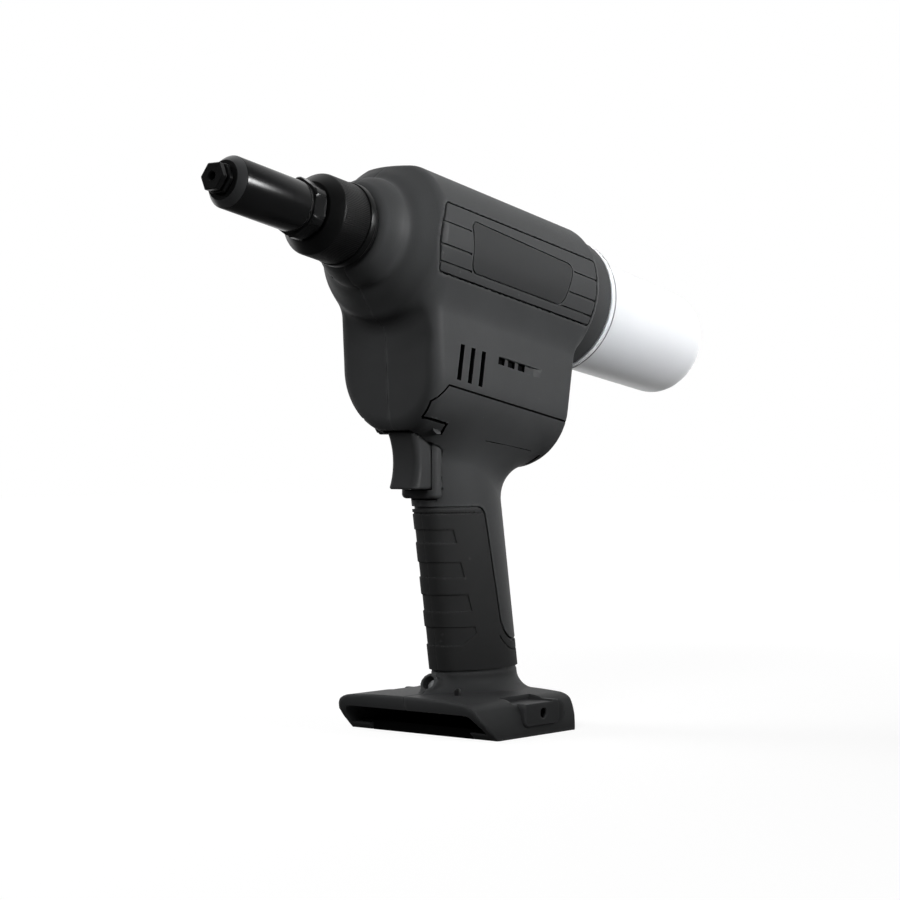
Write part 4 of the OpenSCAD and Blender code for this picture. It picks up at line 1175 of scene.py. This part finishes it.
def dress_frame():
    """Gives each CAD node its own finish or that of its slot."""
    for piece in frame["record"]["subparts"]:
        node = piece["node"]
        give_finish(frame["nodes"][node], NODE_FINISH.get(node, SLOT_FINISH[piece["material_slot"]]))


def build_side(name, side):
    """Housing half, panel, badge and grip of one side."""
    housing = make_housing(name + "_housing_form", side)
    dress(housing, "tool_body", "shell", SHELL, name + "_housing")
    # The second slot holds the painted shade that the deep cuts' faces take.
    housing.data.materials.append(GROOVE_PAINTED_SHADE)
    for slot, cuts in enumerate(flank_cuts(side)):
        cut_away(housing, cuts, slot)
    panel = flank_mesh(name + "_panel_form", panel_field, side, PANEL_CELL)
    dress(panel, "tool_body", "panel", PANEL, name + "_panel")
    badge = flank_mesh(name + "_badge_form", badge_field, side, BADGE_CELL)
    dress(badge, "tool_body", "badge", BADGE, name + "_badge")
    dress(make_grip(name + "_grip_form", side), "tool_body", "grip", RUBBER_SKIN, name + "_grip")


def build():
    """Builds the pieces that stand for the visible CAD nodes."""
    build_side("left", -1)
    build_side("right", 1)
    dress(make_trigger(), "trigger", "trigger", TRIGGER, "trigger")
    dress(make_bezel(), "tool_body", "shell", SHELL, "trigger_bezel")
    dress(make_nosepiece(), "tool_body", "black_steel", COLLAR_STEEL, "nosepiece")
    sleeve, chamfer = make_sleeve()
    dress(sleeve, "tool_body", "black_steel", SLEEVE_STEEL, "nose_sleeve")
    sleeve.data.materials.append(TURNED_STEEL)
    sleeve.data.polygons.foreach_set("material_index", chamfer)
    dress(make_lens(), "tool_body", "lamp", LENS, "lamp_lens")
    dress(make_collar(), "tool_body", "black_steel", COLLAR_STEEL, "collar_nut")
    dress(make_seal(), "tool_body", "grip", SEAL_RUBBER, "collar_seal")
    build_springs()
    dress(make_rear_ring(), "tool_body", "shell", SHELL, "rear_ring")
    dress(make_bottle(), "bottle", "bottle", BOTTLE, "collector_bottle")
    dress(make_bottle_seal(), "bottle", "bottle_ring", RING_GREY, "bottle_seal")


# Floor, light and camera

VIEW_TURN = math.radians(-50.5)


def make_floor():
    """Pale floor that shows white to the camera and keeps a soft shadow."""
    reach = 4000
    corners = [(-reach, -reach, 0), (reach, -reach, 0), (reach, reach, 0), (-reach, reach, 0)]
    floor = mesh_object("floor", corners, [[0, 1, 2, 3]])
    paint = Paint("floor_white")
    paint.set(Base_Color=grey(0.2), Roughness=0.9, Specular_IOR_Level=0.0, Emission_Color=WHITE)
    seen = seen_share(paint.nodes, paint.links, sweep(paint.nodes, paint.links, paint.place))
    strength = paint.times(seen, fade_out(paint, 0.88, 1.0))
    paint.links.new(strength, paint.shader.inputs["Emission Strength"])
    floor.data.materials.append(paint.material)


def smooth_range(nodes, links, value, **limits):
    """A value taken smoothly from one range into another."""
    node = add_node(nodes, "MapRange", **limits)
    node.interpolation_type = "SMOOTHSTEP"
    links.new(value, node.inputs["Value"])
    return node.outputs["Result"]


def fade_out(paint, near, far):
    """Value that runs from near, under the object, to far away from it."""
    length = paint.nodes.new("ShaderNodeVectorMath")
    length.operation = "LENGTH"
    paint.links.new(paint.place, length.inputs[0])
    limits = {"From_Min": 0.15, "From_Max": 0.9, "To_Min": near, "To_Max": far}
    return smooth_range(paint.nodes, paint.links, length.outputs["Value"], **limits)


def sweep(nodes, links, place):
    """One where the white sweep stands behind the tool, and nothing towards the open room."""
    node = nodes.new("ShaderNodeVectorMath")
    node.operation = "DOT_PRODUCT"
    node.inputs[1].default_value = (-math.sin(VIEW_TURN), math.cos(VIEW_TURN), 0.25)
    links.new(place, node.inputs[0])
    return smooth_range(nodes, links, node.outputs["Value"], From_Min=0.1, From_Max=0.6)


def seen_share(nodes, links, shown):
    """One for rays from the camera, through glass or from a reflection, the last only where shown is one."""
    path = nodes.new("ShaderNodeLightPath").outputs
    mirrored = add_maths(nodes, links, "MULTIPLY", path["Is Glossy Ray"], shown)
    seen = add_maths(nodes, links, "MAXIMUM", path["Is Camera Ray"], path["Is Transmission Ray"])
    return add_maths(nodes, links, "MAXIMUM", seen, mirrored)


def make_world(level):
    """White surroundings for the camera, and a plain level of light for the object."""
    world = bpy.data.worlds.new("studio")
    bpy.context.scene.world = world
    world.use_nodes = True
    nodes, links = world.node_tree.nodes, world.node_tree.links
    shader = next(n for n in nodes if n.type == "BACKGROUND")
    shader.inputs["Color"].default_value = WHITE
    around = nodes.new("ShaderNodeTexCoord").outputs["Generated"]
    seen = seen_share(nodes, links, sweep(nodes, links, around))
    links.new(add_maths(nodes, links, "MAXIMUM", seen, level), shader.inputs["Strength"])


def lamp(name, place, aim, size, power, spread, mirrored=True):
    """Soft rectangular lamp whose beam spreads over that many degrees; mirrored says if gloss shows it."""
    data = bpy.data.lights.new(name, "AREA")
    data.shape = "RECTANGLE"
    data.size, data.size_y = size
    data.energy = power
    data.spread = math.radians(spread)
    obj = add_object(name, data)
    obj.visible_glossy = mirrored
    obj.location = place
    direction = np.array(aim, float) - np.array(place, float)
    yaw = math.atan2(direction[1], direction[0])
    tilt = math.atan2(np.hypot(direction[0], direction[1]), -direction[2])
    obj.rotation_euler = (tilt, 0, yaw - math.pi / 2)


def make_light():
    """Soft lamps: a key to the right of the camera, one above, a fill to its left and one behind the tool."""
    make_world(0.11)
    lamp("key", (0.3, -0.85, 0.42), (0.02, -0.03, 0.215), (0.6, 0.24), 0.78, 22)
    lamp("top", (0.05, -0.1, 0.9), (0, 0, 0.2), (0.9, 0.5), 0.1, 60)
    lamp("fill", (-0.9, -0.35, 0.7), (-0.06, 0, 0.19), (0.5, 0.4), 0.58, 50, False)
    lamp("back", (-0.6, 1.1, 0.9), (0, 0, 0.16), (0.6, 1.0), 4.0, 110, False)


def make_camera():
    """Camera at the photo's place: level, with a long lens."""
    data = bpy.data.cameras.new("camera")
    data.lens, data.sensor_width = 92, 36
    camera = add_object("camera", data)
    camera.location = (-0.8003, -0.6511, 0.1246)
    camera.rotation_euler = (math.radians(90), 0, VIEW_TURN)
    bpy.context.scene.camera = camera


dress_frame()
build()
make_floor()
make_light()
make_camera()
bpy.context.scene.view_settings.view_transform = "Standard"
